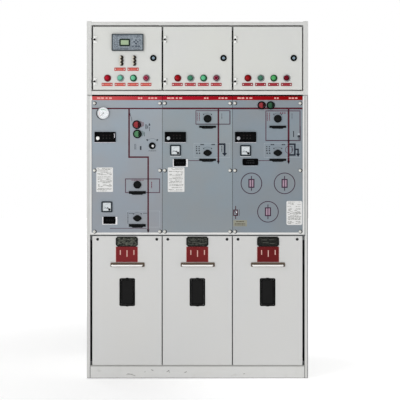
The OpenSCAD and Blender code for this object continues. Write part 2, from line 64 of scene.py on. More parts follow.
class Wire:
    """One socket of a finish: arithmetic on it adds Math nodes, and node() adds any other kind."""

    def __init__(self, tree, socket=None):
        self.tree = tree
        self.socket = socket

    def node(self, kind, settings, inputs, output=0):
        made = self.tree.nodes.new("ShaderNode" + kind)
        for key, value in settings.items():
            setattr(made, key, value)
        for key, value in inputs.items():
            plug_in(self.tree, value, made.inputs[key])
        return Wire(self.tree, made.outputs[output])

    def math(self, operation, first, second):
        return self.node("Math", {"operation": operation}, {0: first, 1: second})

    def __add__(self, other):
        return self.math("ADD", self, other)

    def __radd__(self, other):
        return self.math("ADD", other, self)

    def __sub__(self, other):
        return self.math("SUBTRACT", self, other)

    def __rsub__(self, other):
        return self.math("SUBTRACT", other, self)

    def __mul__(self, other):
        return self.math("MULTIPLY", self, other)

    def __rmul__(self, other):
        return self.math("MULTIPLY", other, self)

    def rise(self, low, high):
        """0 below low, 1 above high, and smooth between them."""
        return self.node("MapRange", {"interpolation_type": "SMOOTHSTEP"},
                         {"Value": self, "From Min": low, "From Max": high})

    def between(self, low, high):
        """The first colour where this is 0, the second where it is 1."""
        return self.node("Mix", {"data_type": "RGBA"}, {0: self, 6: low, 7: high}, 2)

    def cloud(self, scale, detail=2.0):
        return self.node("TexNoise", {}, {"Vector": self, "Scale": scale, "Detail": detail})

    def stretched(self, x, y, z):
        return self.node("Mapping", {}, {"Vector": self, "Scale": (x, y, z)})

    def axis(self, letter):
        return self.node("SeparateXYZ", {}, {"Vector": self}, letter)

    def relief(self, depth):
        """A bump this many metres deep."""
        return self.node("Bump", {}, {"Height": self, "Distance": depth})


def plug_in(tree, value, socket):
    if isinstance(value, Wire):
        tree.links.new(value.socket, socket)
    else:
        socket.default_value = value


def start_finish(name):
    """A new finish, and the place on the piece that its patterns are laid out from."""
    material = bpy.data.materials.new(name)
    material.use_nodes = True
    return material, Wire(material.node_tree).node("TexCoord", {}, {}, "Object")


def close_finish(material, **sockets):
    shader = material.node_tree.nodes["Principled BSDF"]
    for key, value in sockets.items():
        plug_in(material.node_tree, value, shader.inputs[key.replace("_", " ")])
    return material


def chip(red, green, blue, share=1.0):
    """A colour chip, 0 to 255 as on a screen, as linear light."""
    light = [(c / 255 / 12.92 if c < 11 else ((c / 255 + 0.055) / 1.055) ** 2.4) for c in (red, green, blue)]
    return [share * light[0], share * light[1], share * light[2], 1.0]


def zinc(name, pale, dark, rough=0.42):
    """Zinc-coated steel with its soft crystals."""
    material, place = start_finish(name)
    crystals = place.node("TexVoronoi", {}, {"Vector": place, "Scale": 130.0}, "Color").axis("X")
    stain = place.cloud(14.0, 4.0)
    tone = crystals * 0.55 + stain * 0.45
    return close_finish(material, Base_Color=tone.between(dark, pale), Metallic=0.85,
                        Roughness=rough + crystals * 0.14, Normal=crystals.relief(0.00006))


def dress(material, *nodes):
    """Puts a finish on CAD nodes that stay as they are."""
    for node in nodes:
        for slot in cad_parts[node].material_slots:
            slot.material = material


def primer(name, colour):
    """Stoved primer on rough steel: matt, a little cloudy, with scuffs."""
    material, place = start_finish(name)
    cloud = place.cloud(9.0, 5.0)
    scuffs = place.stretched(1.0, 6.0, 1.0).cloud(60.0, 3.0).rise(0.62, 0.8)
    dusty = (cloud * 0.6 + scuffs * 0.3).between(colour, chip(122, 120, 114))
    return close_finish(material, Base_Color=dusty, Roughness=0.72 - scuffs * 0.15,
                        Normal=place.cloud(500.0).relief(0.0001))


base_primer = primer("base_primer", chip(72, 74, 76))
floor_zinc = zinc("floor_zinc", chip(172, 176, 178), chip(128, 132, 136))
dress(base_primer, "base_runners", "base_crossbars")
dress(floor_zinc, "floor_plate")


# ---- Cabinet sheets --------------------------------------------------------------------------
# Plinth, side panels with their corner posts, rear panel, roof and the steel panels behind the
# printed plates: folded 2 mm steel, powder-coated light grey, so the bends are rounded and the coat
# has a fine orange peel. The bay dividers and cover rails inside are galvanised.

MM = 0.001
SHARP = math.radians(38)


def corners(node):
    """A CAD node's low and high corners, in millimetres."""
    low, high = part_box(node)
    return low / MM, high / MM


FRONT = corners("plinth_panel")[0].y


def powder_coat(name, cool, warm, grime=0.0, rough=0.42):
    """Light grey powder coat: faint cool and warm clouds, fine peel, dust that thickens to the floor."""
    material, place = start_finish(name)
    clouds = place.cloud(4.5, 4.0)
    fleck = place.cloud(90.0, 3.0)
    coat = (clouds * 0.8 + fleck * 0.2).between(cool, warm)
    height = place.axis("Z")
    low_down = 1.0 - height.rise(0.0, 0.11)
    streaks = place.stretched(1.0, 1.0, 0.6).cloud(30.0, 5.0)
    marks = place.stretched(0.6, 1.0, 1.3).cloud(34.0, 6.0).rise(0.60, 0.74)
    dust = (low_down * (streaks.rise(0.4, 0.9) * 0.12 + marks * 0.22) + marks * 0.04) * grime
    peel = place.cloud(850.0, 1.0)
    return close_finish(material, Base_Color=dust.between(coat, chip(126, 122, 112)),
                        Roughness=rough + clouds * 0.1 + dust * 0.3,
                        Normal=peel.relief(0.00004), IOR=1.5)


def finished(bm, name, material, body="root", instead_of=(), rolled=0.0):
    """Turns work in millimetres into a piece that rides on a body. Its bends are smooth, its flats flat."""
    bmesh.ops.remove_doubles(bm, verts=bm.verts, dist=1e-4)
    bmesh.ops.recalc_face_normals(bm, faces=bm.faces)
    for face in bm.faces:
        face.smooth = True
    for edge in bm.edges:
        edge.smooth = len(edge.link_faces) == 2 and edge.calc_face_angle() < SHARP
    mesh = bpy.data.meshes.new(name)
    bm.to_mesh(mesh)
    bm.free()
    mesh.transform(Matrix.Scale(MM, 4))
    mesh.materials.append(material)
    piece = bpy.data.objects.new(name, mesh)
    bpy.context.scene.collection.objects.link(piece)
    if rolled:
        roll = piece.modifiers.new("rolled_edges", "BEVEL")
        roll.width = rolled * MM
        roll.segments = 2
        roll.limit_method = "ANGLE"
        roll.angle_limit = math.radians(50)
    piece.modifiers.new("even_shading", "WEIGHTED_NORMAL").keep_sharp = True
    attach(piece, body)
    if instead_of:
        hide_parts(*instead_of)
    return piece


def formed(node, material, body="root", rolled=0.8):
    """The sheet as the press leaves it: the CAD shape with its sharp edges rolled over."""
    bm = bmesh.new()
    bm.from_mesh(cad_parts[node].data)
    bmesh.ops.scale(bm, vec=(1 / MM, 1 / MM, 1 / MM), verts=bm.verts)
    bmesh.ops.remove_doubles(bm, verts=bm.verts, dist=0.005)
    bmesh.ops.dissolve_limit(bm, angle_limit=0.01, verts=bm.verts, edges=bm.edges)
    return finished(bm, "formed_" + node, material, body, [node], rolled)


def slab(bm, low, high, edge=0.0, steps=2):
    """A plate or block between two corners, with its edges eased by that much."""
    made = bmesh.ops.create_cube(bm, size=1.0)["verts"]
    for v in made:
        v.co = [low[i] + (v.co[i] + 0.5) * (high[i] - low[i]) for i in range(3)]
    if edge:
        edges = {e for v in made for e in v.link_edges}
        bmesh.ops.bevel(bm, geom=list(edges), offset=edge, segments=steps, affect="EDGES", profile=0.5)


cabinet_coat = powder_coat("cabinet_coat", chip(202, 203, 204), chip(206, 205, 200), grime=0.8)
for sheet_node in ("left_side_panel", "right_side_panel", "rear_panel", "roof_panel"):
    formed(sheet_node, cabinet_coat)
plinth_coat = powder_coat("plinth_coat", chip(207, 208, 208), chip(211, 210, 206), grime=0.7)
formed("plinth_panel", plinth_coat)
divider_zinc = zinc("divider_zinc", chip(166, 168, 168), chip(120, 124, 126))
dress(divider_zinc, "bay_dividers", "cover_rails")
panel_coat = powder_coat("panel_coat", chip(217, 217, 217), chip(221, 220, 216))
for steel_panel in ("front_panel_1", "front_panel_2", "front_panel_3"):
    formed(steel_panel, panel_coat, rolled=0.5)


# ---- Rear panel screws -----------------------------------------------------------------------
# Zinc-plated pan-head screws, each with a cross recess, hold the rear panel to the side panels'
# flanges and to the roof, and more of them hold the control box's back.

def blanks(count):
    """Empty work for that many pieces."""
    return [bmesh.new() for piece in range(count)]


def turned(bm, centre, profile, steps=32, turn=None):
    """A turned shape about an axis towards the front. The profile lists (radius, distance out)."""
    rings = []
    for radius, out in profile:
        if radius < 1e-6:
            rings.append([bm.verts.new((0.0, -out, 0.0))])
            continue
        ring = []
        for i in range(steps):
            angle = math.tau * i / steps
            ring.append(bm.verts.new((radius * math.cos(angle), -out, radius * math.sin(angle))))
        rings.append(ring)
    for one, two in zip(rings, rings[1:]):
        for i in range(steps):
            j = (i + 1) % steps
            quad = [one[i % len(one)], one[j % len(one)], two[j % len(two)], two[i % len(two)]]
            edge_loop = list(dict.fromkeys(quad))
            if len(edge_loop) > 2:
                bm.faces.new(edge_loop)
    place_on(bm, [v for ring in rings for v in ring], centre, turn)


def place_on(bm, verts, centre, turn=None):
    """Turns new work and moves it to its place."""
    if turn:
        bmesh.ops.transform(bm, matrix=turn, verts=verts)
    bmesh.ops.translate(bm, vec=Vector(centre), verts=verts)


def prism(bm, outline, centre, low, high, turn=None, edge=0.0):
    """An outline of (across, up) made solid from low to high out of the face, with its front edge eased."""
    back = [bm.verts.new((x, -low, z)) for x, z in outline]
    front = [bm.verts.new((x, -high, z)) for x, z in outline]
    bm.faces.new(back)
    top = bm.faces.new(front)
    for i, v in enumerate(back):
        j = (i + 1) % len(back)
        bm.faces.new((v, back[j], front[j], front[i]))
    place_on(bm, back + front, centre, turn)
    if edge:
        bmesh.ops.bevel(bm, geom=list(top.edges), offset=edge, segments=2, affect="EDGES", profile=0.5)


def bored(bm, drill):
    """The work with the drill's shape taken out of it."""
    parts = []
    for work in (bm, drill):
        bmesh.ops.recalc_face_normals(work, faces=work.faces)
        mesh = bpy.data.meshes.new("on_the_bench")
        work.to_mesh(mesh)
        work.free()
        part = bpy.data.objects.new("on_the_bench", mesh)
        bpy.context.scene.collection.objects.link(part)
        parts.append(part)
    cut = parts[0].modifiers.new("cut", "BOOLEAN")
    cut.operation = "DIFFERENCE"
    cut.solver = "EXACT"
    cut.object = parts[1]
    result = bpy.data.meshes.new_from_object(parts[0].evaluated_get(bpy.context.evaluated_depsgraph_get()))
    out = bmesh.new()
    out.from_mesh(result)
    for part in parts:
        bpy.data.meshes.remove(part.data)
    bpy.data.meshes.remove(result)
    return out


def slot_at(bm, place, half, thick, low, high, slant):
    """The cut of a screwdriver slot, from low to high out of the face and at a slant."""
    prism(bm, [(-half, -thick), (half, -thick), (half, thick), (-half, thick)], place, low, high,
          Matrix.Rotation(slant, 4, "Y"))


def screws(name, places, radius, height, material, turn=None, body="root", instead_of=()):
    """Pan-head screws at places (x, y, z), each with a cross recess at its own slant."""
    heads, wells = blanks(2)
    arm = radius * 0.12
    tip = radius * 0.52
    plus = [(arm, arm), (tip, arm), (tip, -arm), (arm, -arm), (arm, -tip), (-arm, -tip), (-arm, -arm),
            (-tip, -arm), (-tip, arm), (-arm, arm), (-arm, tip), (arm, tip)]
    shape = [(0.0, 1.0), (0.45, 0.97), (0.75, 0.8), (0.93, 0.5), (1.0, 0.2), (1.0, 0.0), (0.0, 0.0)]
    for number, place in enumerate(places):
        turned(heads, place, [(radius * r, height * h) for r, h in shape], 28, turn)
        slant = Matrix.Rotation(0.7 * number, 4, "Y")
        prism(wells, plus, place, height * 0.45, height * 1.2, (turn @ slant) if turn else slant)
    return finished(bored(heads, wells), name, material, body, instead_of)


def bright_metal(name, pale, dark, rough=0.3, grain=(1.0, 1.0, 1.0), metallic=0.9):
    """Plated or machined metal: fine directional scratches and a faint haze."""
    material, place = start_finish(name)
    scratches = place.stretched(*grain).cloud(900.0, 3.0)
    haze = place.cloud(60.0, 3.0)
    tone = scratches * 0.4 + haze * 0.6
    return close_finish(material, Base_Color=tone.between(dark, pale), Metallic=metallic,
                        Roughness=rough + haze * 0.15, Normal=scratches.relief(0.00002))


plated = bright_metal("plated_screws", chip(196, 198, 200), chip(150, 152, 156))
REAR_SCREW_R = 6.0
REAR_SCREW_H = 3.0
rear_low, rear_high = corners("rear_panel")
REARWARD = Matrix.Rotation(math.pi, 4, "Z")
rear_places = [(x, rear_high.y, rear_low.z + 60 + step * (rear_high.z - rear_low.z - 100) / 5)
               for step in range(6) for x in (rear_low.x + 14, rear_high.x - 14)]
rear_places += [(x, rear_high.y, z) for x in (rear_low.x / 3, rear_high.x / 3)
                for z in (rear_low.z + 30, rear_high.z - 20)]
screws("rear_panel_screws", rear_places, REAR_SCREW_R, REAR_SCREW_H, plated, REARWARD)
box_back_low, box_back_high = corners("box_back")
box_screw_places = [(x, box_back_high.y, z) for x in (box_back_low.x + 14, 0.0, box_back_high.x - 14)
                    for z in (box_back_low.z + 20, box_back_high.z - 20)]
screws("box_back_screws", box_screw_places, REAR_SCREW_R, REAR_SCREW_H, plated, REARWARD)


# ---- Cable compartment covers ----------------------------------------------------------------
# Three pans of 2 mm powder-coated steel, open at the back, that lift off by hand. Each has rounded
# bends and a window cut-out. The two outer pans reach a little further, into the posts' grooves.

def pan(low_corner, high_corner, sheet=2.0, bend=2.6, steps=3):
    """A sheet pan that is open at the back, with rounded bends outside and in."""
    bm = bmesh.new()
    for inset, radius in ((0.0, bend), (sheet, bend - sheet * 0.7)):
        low = Vector(low_corner) + Vector((inset, inset, inset))
        high = Vector(high_corner) - Vector((inset, 0.0, inset))
        verts = bmesh.ops.create_cube(bm, size=1.0)["verts"]
        for v in verts:
            v.co = [low[i] + (v.co[i] + 0.5) * (high[i] - low[i]) for i in range(3)]
        faces = {f for v in verts for f in v.link_faces}
        back_face = max(faces, key=lambda f: f.calc_center_median().y)
        rim_edges = set(back_face.edges)
        bmesh.ops.delete(bm, geom=[back_face], context="FACES_ONLY")
        edges = {e for v in verts for e in v.link_edges} - rim_edges
        bmesh.ops.bevel(bm, geom=list(edges), offset=radius, segments=steps, affect="EDGES", profile=0.5)
    rims = [e for e in bm.edges if len(e.link_faces) == 1]
    bmesh.ops.bridge_loops(bm, edges=rims)
    return bm


def rounded(width, height, radius, steps=4, middle=(0.0, 0.0)):
    """The outline of a rectangle with rounded corners."""
    outline = []
    for corner, (sx, sz) in enumerate(((1, 1), (-1, 1), (-1, -1), (1, -1))):
        for i in range(steps + 1):
            angle = math.pi / 2 * (corner + i / steps)
            outline.append((middle[0] + sx * (width / 2 - radius) + radius * math.cos(angle),
                            middle[1] + sz * (height / 2 - radius) + radius * math.sin(angle)))
    return outline


cover_coat = powder_coat("cover_coat", chip(203, 204, 204), chip(206, 205, 202), grime=0.6)
BAY_X = []
for number in (1, 2, 3):
    cover_low, cover_high = corners(f"cable_cover_{number}")
    BAY_X.append((cover_low.x + cover_high.x) / 2)
cover_w = cover_high.x - cover_low.x


def in_each_bay(node):
    """Of a node with a like piece in each bay: that piece's width, its height and its middle height."""
    low, high = corners(node)
    return high.x - low.x - (BAY_X[2] - BAY_X[0]), high.z - low.z, (low.z + high.z) / 2


window_w, window_h, window_z = in_each_bay("viewing_windows")
PANE_LAP = 5.0
SIDE_REACH = 0.7
for number, x in enumerate(BAY_X, 1):
    cover_low, cover_high = corners(f"cable_cover_{number}")
    opening = bmesh.new()
    prism(opening, rounded(window_w - 2 * PANE_LAP, window_h - 2 * PANE_LAP, 3.0),
          (x, FRONT, window_z), -10.0, 10.0)
    cover_low.x -= SIDE_REACH if number == 1 else 0.0
    cover_high.x += SIDE_REACH if number == 3 else 0.0
    finished(bored(pan(cover_low, cover_high), opening), f"cover_pan_{number}", cover_coat,
             instead_of=[f"cable_cover_{number}"])


# ---- Viewing windows -------------------------------------------------------------------------
# A smoked polycarbonate pane behind each cover's cut-out, for looking at the cable ends, in a black
# rubber profile pressed on round the cut-out. A black strip in the gap between two covers is painted shade.

def ribbon(bm, points, width, face, high=0.3, closed=False, low=0.0):
    """A band of one width through points (across, up) on a face, from low to high out of it."""
    path = [Vector(p) for p in points]
    count = len(path)
    stations = []
    for i, point in enumerate(path):
        into = path[i - 1] if i or closed else None
        out_of = path[(i + 1) % count] if i < count - 1 or closed else None
        first = (point - into).normalized() if into else (out_of - point).normalized()
        second = (out_of - point).normalized() if out_of else first
        across = Vector((-(first + second).y, (first + second).x)).normalized()
        reach = across * (width / 2 / max(0.4, across.dot(Vector((-first.y, first.x)))))
        stations.append([bm.verts.new((p.x, face - out, p.y))
                         for p, out in ((point + reach, low), (point + reach, high),
                                        (point - reach, high), (point - reach, low))])
    for i in range(count if closed else count - 1):
        one, two = stations[i], stations[(i + 1) % count]
        for k in range(4):
            bm.faces.new((one[k], one[(k + 1) % 4], two[(k + 1) % 4], two[k]))
    if not closed:
        bm.faces.new(stations[0])
        bm.faces.new(stations[-1][::-1])


def shade(colour, share, lift=0.0):
    """The colour times a share, with a little light added."""
    return [min(1.0, c * share + lift) for c in colour[:3]] + [1.0]


def moulding(name, colour, rough=0.45, grain=0.00005, pale=0.12, gloss=0.5, **sockets):
    """Moulded plastic: a fine spark-eroded grain, slightly uneven in tone and gloss."""
    material, place = start_finish(name)
    cloud = place.cloud(40.0, 4.0)
    dots = place.cloud(1400.0, 2.0)
    tone = (cloud * 0.7 + dots * 0.3).between(shade(colour, 1 - pale), shade(colour, 1 + pale, 0.004))
    return close_finish(material, Base_Color=tone,
                        Roughness=rough + cloud * 0.12, Normal=dots.relief(grain), Specular_IOR_Level=gloss,
                        **sockets)


def moulded(bm, name, slot, colour, *feel, body="root", instead_of=(), **shine):
    """A piece in a moulded plastic or paint of its own."""
    return finished(bm, name, moulding(name, colour, *feel, **shine), body, instead_of)


smoked = moulding("smoked_pane", chip(24, 24, 24), 0.25, 0.00001, 0.05, gloss=0.05)
rubber = moulding("black_rubber", chip(15, 15, 15), 0.7, gloss=0.03)
window_low, window_high = corners("viewing_windows")
panes, gaskets, cover_gap_shades = blanks(3)
for x in BAY_X:
    slab(panes, (x - window_w / 2, window_low.y, window_low.z),
         (x + window_w / 2, window_high.y, window_high.z), 0.4)
    lip = rounded(window_w - 2.0, window_h - 2.0, 3.0, middle=(x, window_z))
    ribbon(gaskets, lip, 7.0, FRONT, 1.2, True)
    ribbon(gaskets, lip, 3.0, FRONT, 1.8, True, 1.2)
    lining = rounded(window_w - 2 * PANE_LAP - 1.2, window_h - 2 * PANE_LAP - 1.2, 2.4, middle=(x, window_z))
    ribbon(gaskets, lining, 1.6, FRONT, 1.2, True, -2.4)
    for side in (-1, 1):
        prism(gaskets, rounded(12.0, 4.0, 1.5), (x, FRONT, window_z + side * (window_h / 2 + 2.6)), 0.0, 1.5)
# Painted shade: a black strip in each gap between two covers.
for one, two in zip(BAY_X, BAY_X[1:]):
    edge = (one + two) / 2 - (BAY_X[1] - BAY_X[0] - cover_w) / 2
    slab(cover_gap_shades, (edge - 1.2, FRONT - 0.1, cover_low.z + 3.0),
         (edge + 0.3, FRONT + 12.0, cover_high.z - 3.0), 0.2)
finished(cover_gap_shades, "cover_gap_painted_shades", rubber)
finished(panes, "window_panes", smoked, instead_of=["viewing_windows"])
finished(gaskets, "window_gaskets", rubber)


# ---- Lifting handles -------------------------------------------------------------------------
# A bar bent at both ends and screwed from behind through the cover, sleeved in white PVC.
# A grey-brown patch behind it, which shows above and below the bar and past its right-hand end, is the bar's
# painted shadow.

def squarish(part):
    """Pushes a circle's points out towards a square with well-rounded corners."""
    return math.copysign(abs(part) ** 0.6, part)


def rod(bm, path, radius, steps=20):
    """A bar with a rounded square section along a path of points."""
    points = [Vector(p) for p in path]
    side = None
    rings = []
    for i, point in enumerate(points):
        ahead = points[min(i + 1, len(points) - 1)] - points[max(i - 1, 0)]
        ahead.normalize()
        if side is None:
            side = ahead.orthogonal().normalized()
        side = (side - ahead * side.dot(ahead)).normalized()
        up = ahead.cross(side)
        turns = [math.tau * k / steps for k in range(steps)]
        section = [side * squarish(math.cos(t)) + up * squarish(math.sin(t)) for t in turns]
        rings.append([bm.verts.new(point + radius * reach) for reach in section])
    for one, two in zip(rings, rings[1:]):
        for k in range(steps):
            bm.faces.new((one[k], one[(k + 1) % steps], two[(k + 1) % steps], two[k]))
    bm.faces.new(rings[0][::-1])
    bm.faces.new(rings[-1])


handle_w, handle_h, handle_z = in_each_bay("cover_handles")
handle_r = handle_h / 2
grip_half = handle_w / 2 - handle_r
grip = grip_half - 2.0
bar_y = corners("cover_handles")[0].y + handle_r
bar_z = handle_z + 0.9
BEND_R = 3.5
SHADOW_TOP = 13.9
SHADOW_SIDES = 17.0
shadow_foot = handle_r + 1.3
shadow_z = handle_z + (SHADOW_TOP - shadow_foot) / 2
handles, handle_shadow_patches = blanks(2)
for x in BAY_X:
    path = [(x - grip, FRONT, bar_z)]
    for side in (-1, 1):
        bend = [(x + side * (grip - BEND_R * (1 - math.cos(a))), bar_y + BEND_R * (1 - math.sin(a)), bar_z)
                for a in (math.pi / 2 * i / 8 for i in range(9))]
        path += bend if side < 0 else bend[::-1]
    path.append((x + grip, FRONT, bar_z))
    rod(handles, path, handle_r - 1.7)
    # Painted shadow: a dark patch behind the bar that shows above, below and right of it.
    shadow_outline = rounded(2 * grip_half + SHADOW_SIDES, SHADOW_TOP + shadow_foot, 4.0)
    prism(handle_shadow_patches, shadow_outline, (x + 1.7, FRONT, shadow_z), 0.0, 2.5, edge=0.5)
pvc = moulding("white_sleeve", chip(255, 254, 252), 0.34, 0.00002, 0.0)
finished(handles, "handle_bars", pvc, instead_of=["cover_handles"])
moulded(handle_shadow_patches, "handle_painted_shadows", "black_plastic", chip(92, 79, 67), 0.6, gloss=0.2)


# ---- Lock plates and red plates --------------------------------------------------------------
# An eight-sided black plate with a darker rim covers the lock of each cover, and a red enamelled
# plate is riveted under it. The red plate carries three plain pale bars and no sign.

def across(bm, left, right, z, width, face, high):
    """A level bar on a face."""
    ribbon(bm, [(left, z), (right, z)], width, face, high)


def plate_outline(low, high, cut):
    """A rectangle with its four corners cut off."""
    return [(low[0], low[1] + cut), (low[0] + cut, low[1]), (high[0] - cut, low[1]), (high[0], low[1] + cut),
            (high[0], high[1] - cut), (high[0] - cut, high[1]), (low[0] + cut, high[1]),
            (low[0], high[1] - cut)]


def cast_field(name, dark, pale, scale=150.0):
    """A cast and painted field, worn to a mottle."""
    material, place = start_finish(name)
    mottle = place.stretched(0.6, 1.0, 1.2).cloud(scale, 5.0).rise(0.42, 0.62)
    return close_finish(material, Base_Color=mottle.between(dark, pale), Roughness=0.5 + mottle * 0.15,
                        Normal=mottle.relief(0.0003), Specular_IOR_Level=0.2)


lock_w, lock_h, lock_z = in_each_bay("lock_plates")
red_h, red_z = in_each_bay("red_plates")[1:]
plate_half = lock_w / 2 + 0.8
lock_half = (lock_h + 1.2) / 2
lock_z += 0.6
red_z -= 0.8
red_h += 1.6
PLATE_CUT = 8.0
LOCK_RIM = 4.0
LOCK_FIELD = 4.6
RED_FACE = 1.5
RIVET_INSET = 5.5
lock_rims, lock_bars, red_backs, red_bars, rivets = blanks(5)
lock_fields = blanks(3)
red_faces = blanks(3)
for bay, x in enumerate((BAY_X[0] - 1.9, BAY_X[1] - 0.5, BAY_X[2] + 2.0)):
    octagon = plate_outline((-plate_half, -lock_half), (plate_half, lock_half), PLATE_CUT)
    prism(lock_rims, octagon, (x, FRONT, lock_z), 0.0, LOCK_RIM, edge=0.8)
    inner = plate_outline((-plate_half + 5, -lock_half + 4), (plate_half - 5, lock_half - 4), PLATE_CUT - 2)
    prism(lock_fields[bay], inner, (x, FRONT, lock_z), LOCK_RIM, LOCK_FIELD, edge=0.2)
    for start, end, up in ((-30, -6, 8.0), (4, 26, 8.5), (-24, 2, -5.0), (8, 30, -8.0)):
        across(lock_bars, x + start, x + end, lock_z + up, 1.6, FRONT - LOCK_FIELD, 0.25)
    back = rounded(2 * plate_half + 3, red_h - 1.5, 1.0)
    prism(red_backs, back, (x, FRONT, red_z - 0.75), 0.0, 0.9, edge=0.2)
    front = rounded(2 * plate_half - 1, red_h - 0.8, 1.0)
    prism(red_faces[bay], front, (x, FRONT, red_z + 0.3), 0.9, RED_FACE, edge=0.1)
    for right, foot, top in ((-30.0, -2.0, 20.0), (1.0, -11.0, 19.0), (33.0, -2.0, 20.0)):
        ribbon(red_bars, [(x + right, red_z + foot), (x + right, red_z + top)], 4.5, FRONT - RED_FACE, 0.3)
    for sx in (-1, 1):
        for sz in (-1, 1):
            at = (x + sx * (plate_half - RIVET_INSET), FRONT - RED_FACE, red_z + sz * (red_h / 2 - 5))
            turned(rivets, at, [(0.0, 1.1), (1.1, 0.95), (1.9, 0.4), (2.0, 0.0), (0.0, 0.0)], 16)
black_cast = moulding("black_cast", chip(12, 13, 12), 0.42, gloss=0.08)
finished(lock_rims, "lock_plate_rims", black_cast, instead_of=["lock_plates"])
moulded(lock_bars, "lock_plate_bars", "black_plastic", chip(96, 98, 90), 0.5, gloss=0.2)
moulded(red_backs, "red_plate_edges", "red_plate", chip(226, 190, 184), 0.4, instead_of=["red_plates"])
moulded(red_bars, "red_plate_bars", "red_plate", chip(208, 164, 154), 0.45)
field_tones = ((chip(9, 11, 9), chip(89, 92, 82)), (chip(7, 8, 7), chip(64, 67, 60)),
               (chip(5, 7, 5), chip(37, 38, 33)))
red_tones = (chip(117, 30, 34), chip(110, 26, 28), chip(98, 15, 18))
for bay in range(3):
    field = cast_field(f"lock_field_{bay + 1}", *field_tones[bay])
    finished(lock_fields[bay], f"lock_plate_field_{bay + 1}", field)
    enamel = moulding(f"red_enamel_{bay + 1}", red_tones[bay], 0.4, 0.00003, 0.16, gloss=0.12)
    finished(red_faces[bay], f"red_plate_face_{bay + 1}", enamel)
moulded(rivets, "red_plate_rivets", "red_plate", chip(132, 44, 46), 0.4, gloss=0.1)


# ---- Cover screws ----------------------------------------------------------------------------
# Two quarter-turn screws of blacked steel hold the top of each cover. Each has a low slotted head
# on a washer and stays in the sheet when the cover is lifted off.

quarter_turns, turn_slots = blanks(2)
screw_h, screw_z = in_each_bay("cover_screws")[1:]
screw_x = corners("cover_screws")[1].x - screw_h / 2 - BAY_X[2]
for number, (x, side) in enumerate((x, side) for x in BAY_X for side in (-1, 1)):
    place = (x + side * screw_x, FRONT, screw_z)
    turned(quarter_turns, place, [(0.0, 3.0), (3.6, 2.9), (4.7, 2.2), (5.0, 1.2), (6.3, 1.1), (6.5, 0.7),
                                  (6.5, 0.0), (0.0, 0.0)], 36)
    slot_at(turn_slots, place, 4.0, 0.6, 1.6, 4.0, 0.35 + 0.8 * number)
blacked = moulding("blacked_steel", chip(26, 26, 27), 0.4, gloss=0.2)
finished(bored(quarter_turns, turn_slots), "cover_quarter_turns", blacked,
         instead_of=["cover_screws"])


# ---- Plinth joints and painted shade ---------------------------------------------------------
# A grey strip in the joint over the plinth is painted shade, thin dark joints part it from the posts,
# and grey lines along its foot and down the right-hand post's outer edge are painted shade. The plinth has a
# few scuffs.

plinth_low, plinth_high = corners("plinth_panel")
plinth_gap_shade, joints, plinth_foot_shade, post_edge_shade, scuffs = blanks(5)
# Painted shade: a grey strip in the joint over the plinth.
slab(plinth_gap_shade, (plinth_low.x + 1.0, FRONT + 2.0, plinth_high.z - 0.5),
     (plinth_high.x - 1.0, FRONT + 6.0, plinth_high.z + 5.6), 0.3)
for x in (plinth_low.x, plinth_high.x):
    ribbon(joints, [(x, plinth_low.z + 0.5), (x, plinth_high.z)], 2.4, FRONT, 0.25)
# Painted shade: grey lines along the plinth's foot and down the right-hand post's outer edge.
across(plinth_foot_shade, plinth_low.x - 14.0, plinth_high.x + 14.0, plinth_low.z + 1.4, 2.0, FRONT, 0.3)
post_high = corners("right_side_panel")[1]
ribbon(post_edge_shade, [(post_high.x - 2.1, 3.0), (post_high.x - 2.1, post_high.z - 1.0)], 4.0, FRONT, 0.3)
SCUFFS = ((2.6, (-324, 22), (-306, 18), (-288, 12)), (1.6, (-330, 17), (-300, 20)),
          (4.0, (-214, 40), (-204, 36)), (2.0, (-246, 29), (-240, 31)), (3.0, (-142, 30), (-130, 37)),
          (2.4, (-136, 38), (-128, 27)), (3.6, (-60, 26), (-50, 31)), (2.6, (212, 20), (220, 22)))
for width, *points in SCUFFS:
    ribbon(scuffs, points, width, FRONT, 0.06)
moulded(plinth_gap_shade, "plinth_gap_shade", "black_plastic", chip(162, 162, 159), 0.65, gloss=0.2)
moulded(joints, "plinth_joints", "black_plastic", chip(74, 75, 76), 0.7, gloss=0.1)
moulded(plinth_foot_shade, "plinth_foot_painted_shade", "black_plastic", chip(108, 109, 110), 0.6, gloss=0.2)
moulded(post_edge_shade, "post_edge_painted_shade", "black_plastic", chip(132, 133, 134), 0.5, gloss=0.2)
moulded(scuffs, "plinth_scuffs", "cabinet_paint", chip(150, 150, 147), 0.8, 0.0001, 0.1, gloss=0.2)


# ---- Printed plates of the operating panels --------------------------------------------------
# One aluminium plate for each bay, with a satin grey printed film on its face. The film's tone is
# painted light: a little lighter on the left bay, and lighter and a little bluer towards the top.

def printed_film(name, top, bottom, level_low, level_high):
    """Satin film over aluminium: soft clouds, a fine screen grain, faint wiping marks, and painted light that
    runs from the bottom tone up to the top tone.
    """
    material, place = start_finish(name)
    # Painted light: the film grows lighter towards the top.
    painted_light_upwards = place.axis("Z").rise(level_low * MM, level_high * MM)
    cloud = place.cloud(7.0, 4.0)
    film = (painted_light_upwards + cloud * 0.7 - 0.35).between(bottom, top)
    wipes = place.stretched(0.4, 1.0, 1.0).cloud(120.0, 3.0)
    tint = cloud.rise(0.3, 0.75).between(chip(255, 252, 248), chip(246, 252, 255))
    tinted = film.node("Mix", {"data_type": "RGBA", "blend_type": "MULTIPLY"}, {0: 1.0, 6: film, 7: tint}, 2)
    return close_finish(material, Base_Color=tinted, Roughness=0.34 + wipes * 0.12,
                        Normal=place.cloud(1100.0, 1.0).relief(0.00003), Coat_Weight=0.15)


plate_low, plate_high = corners("mimic_plates")
FACE = plate_low.y
PLATE_TOP = plate_high.z
PLATE_FOOT = plate_low.z
plate_w, plate_h, plate_mid = in_each_bay("mimic_plates")
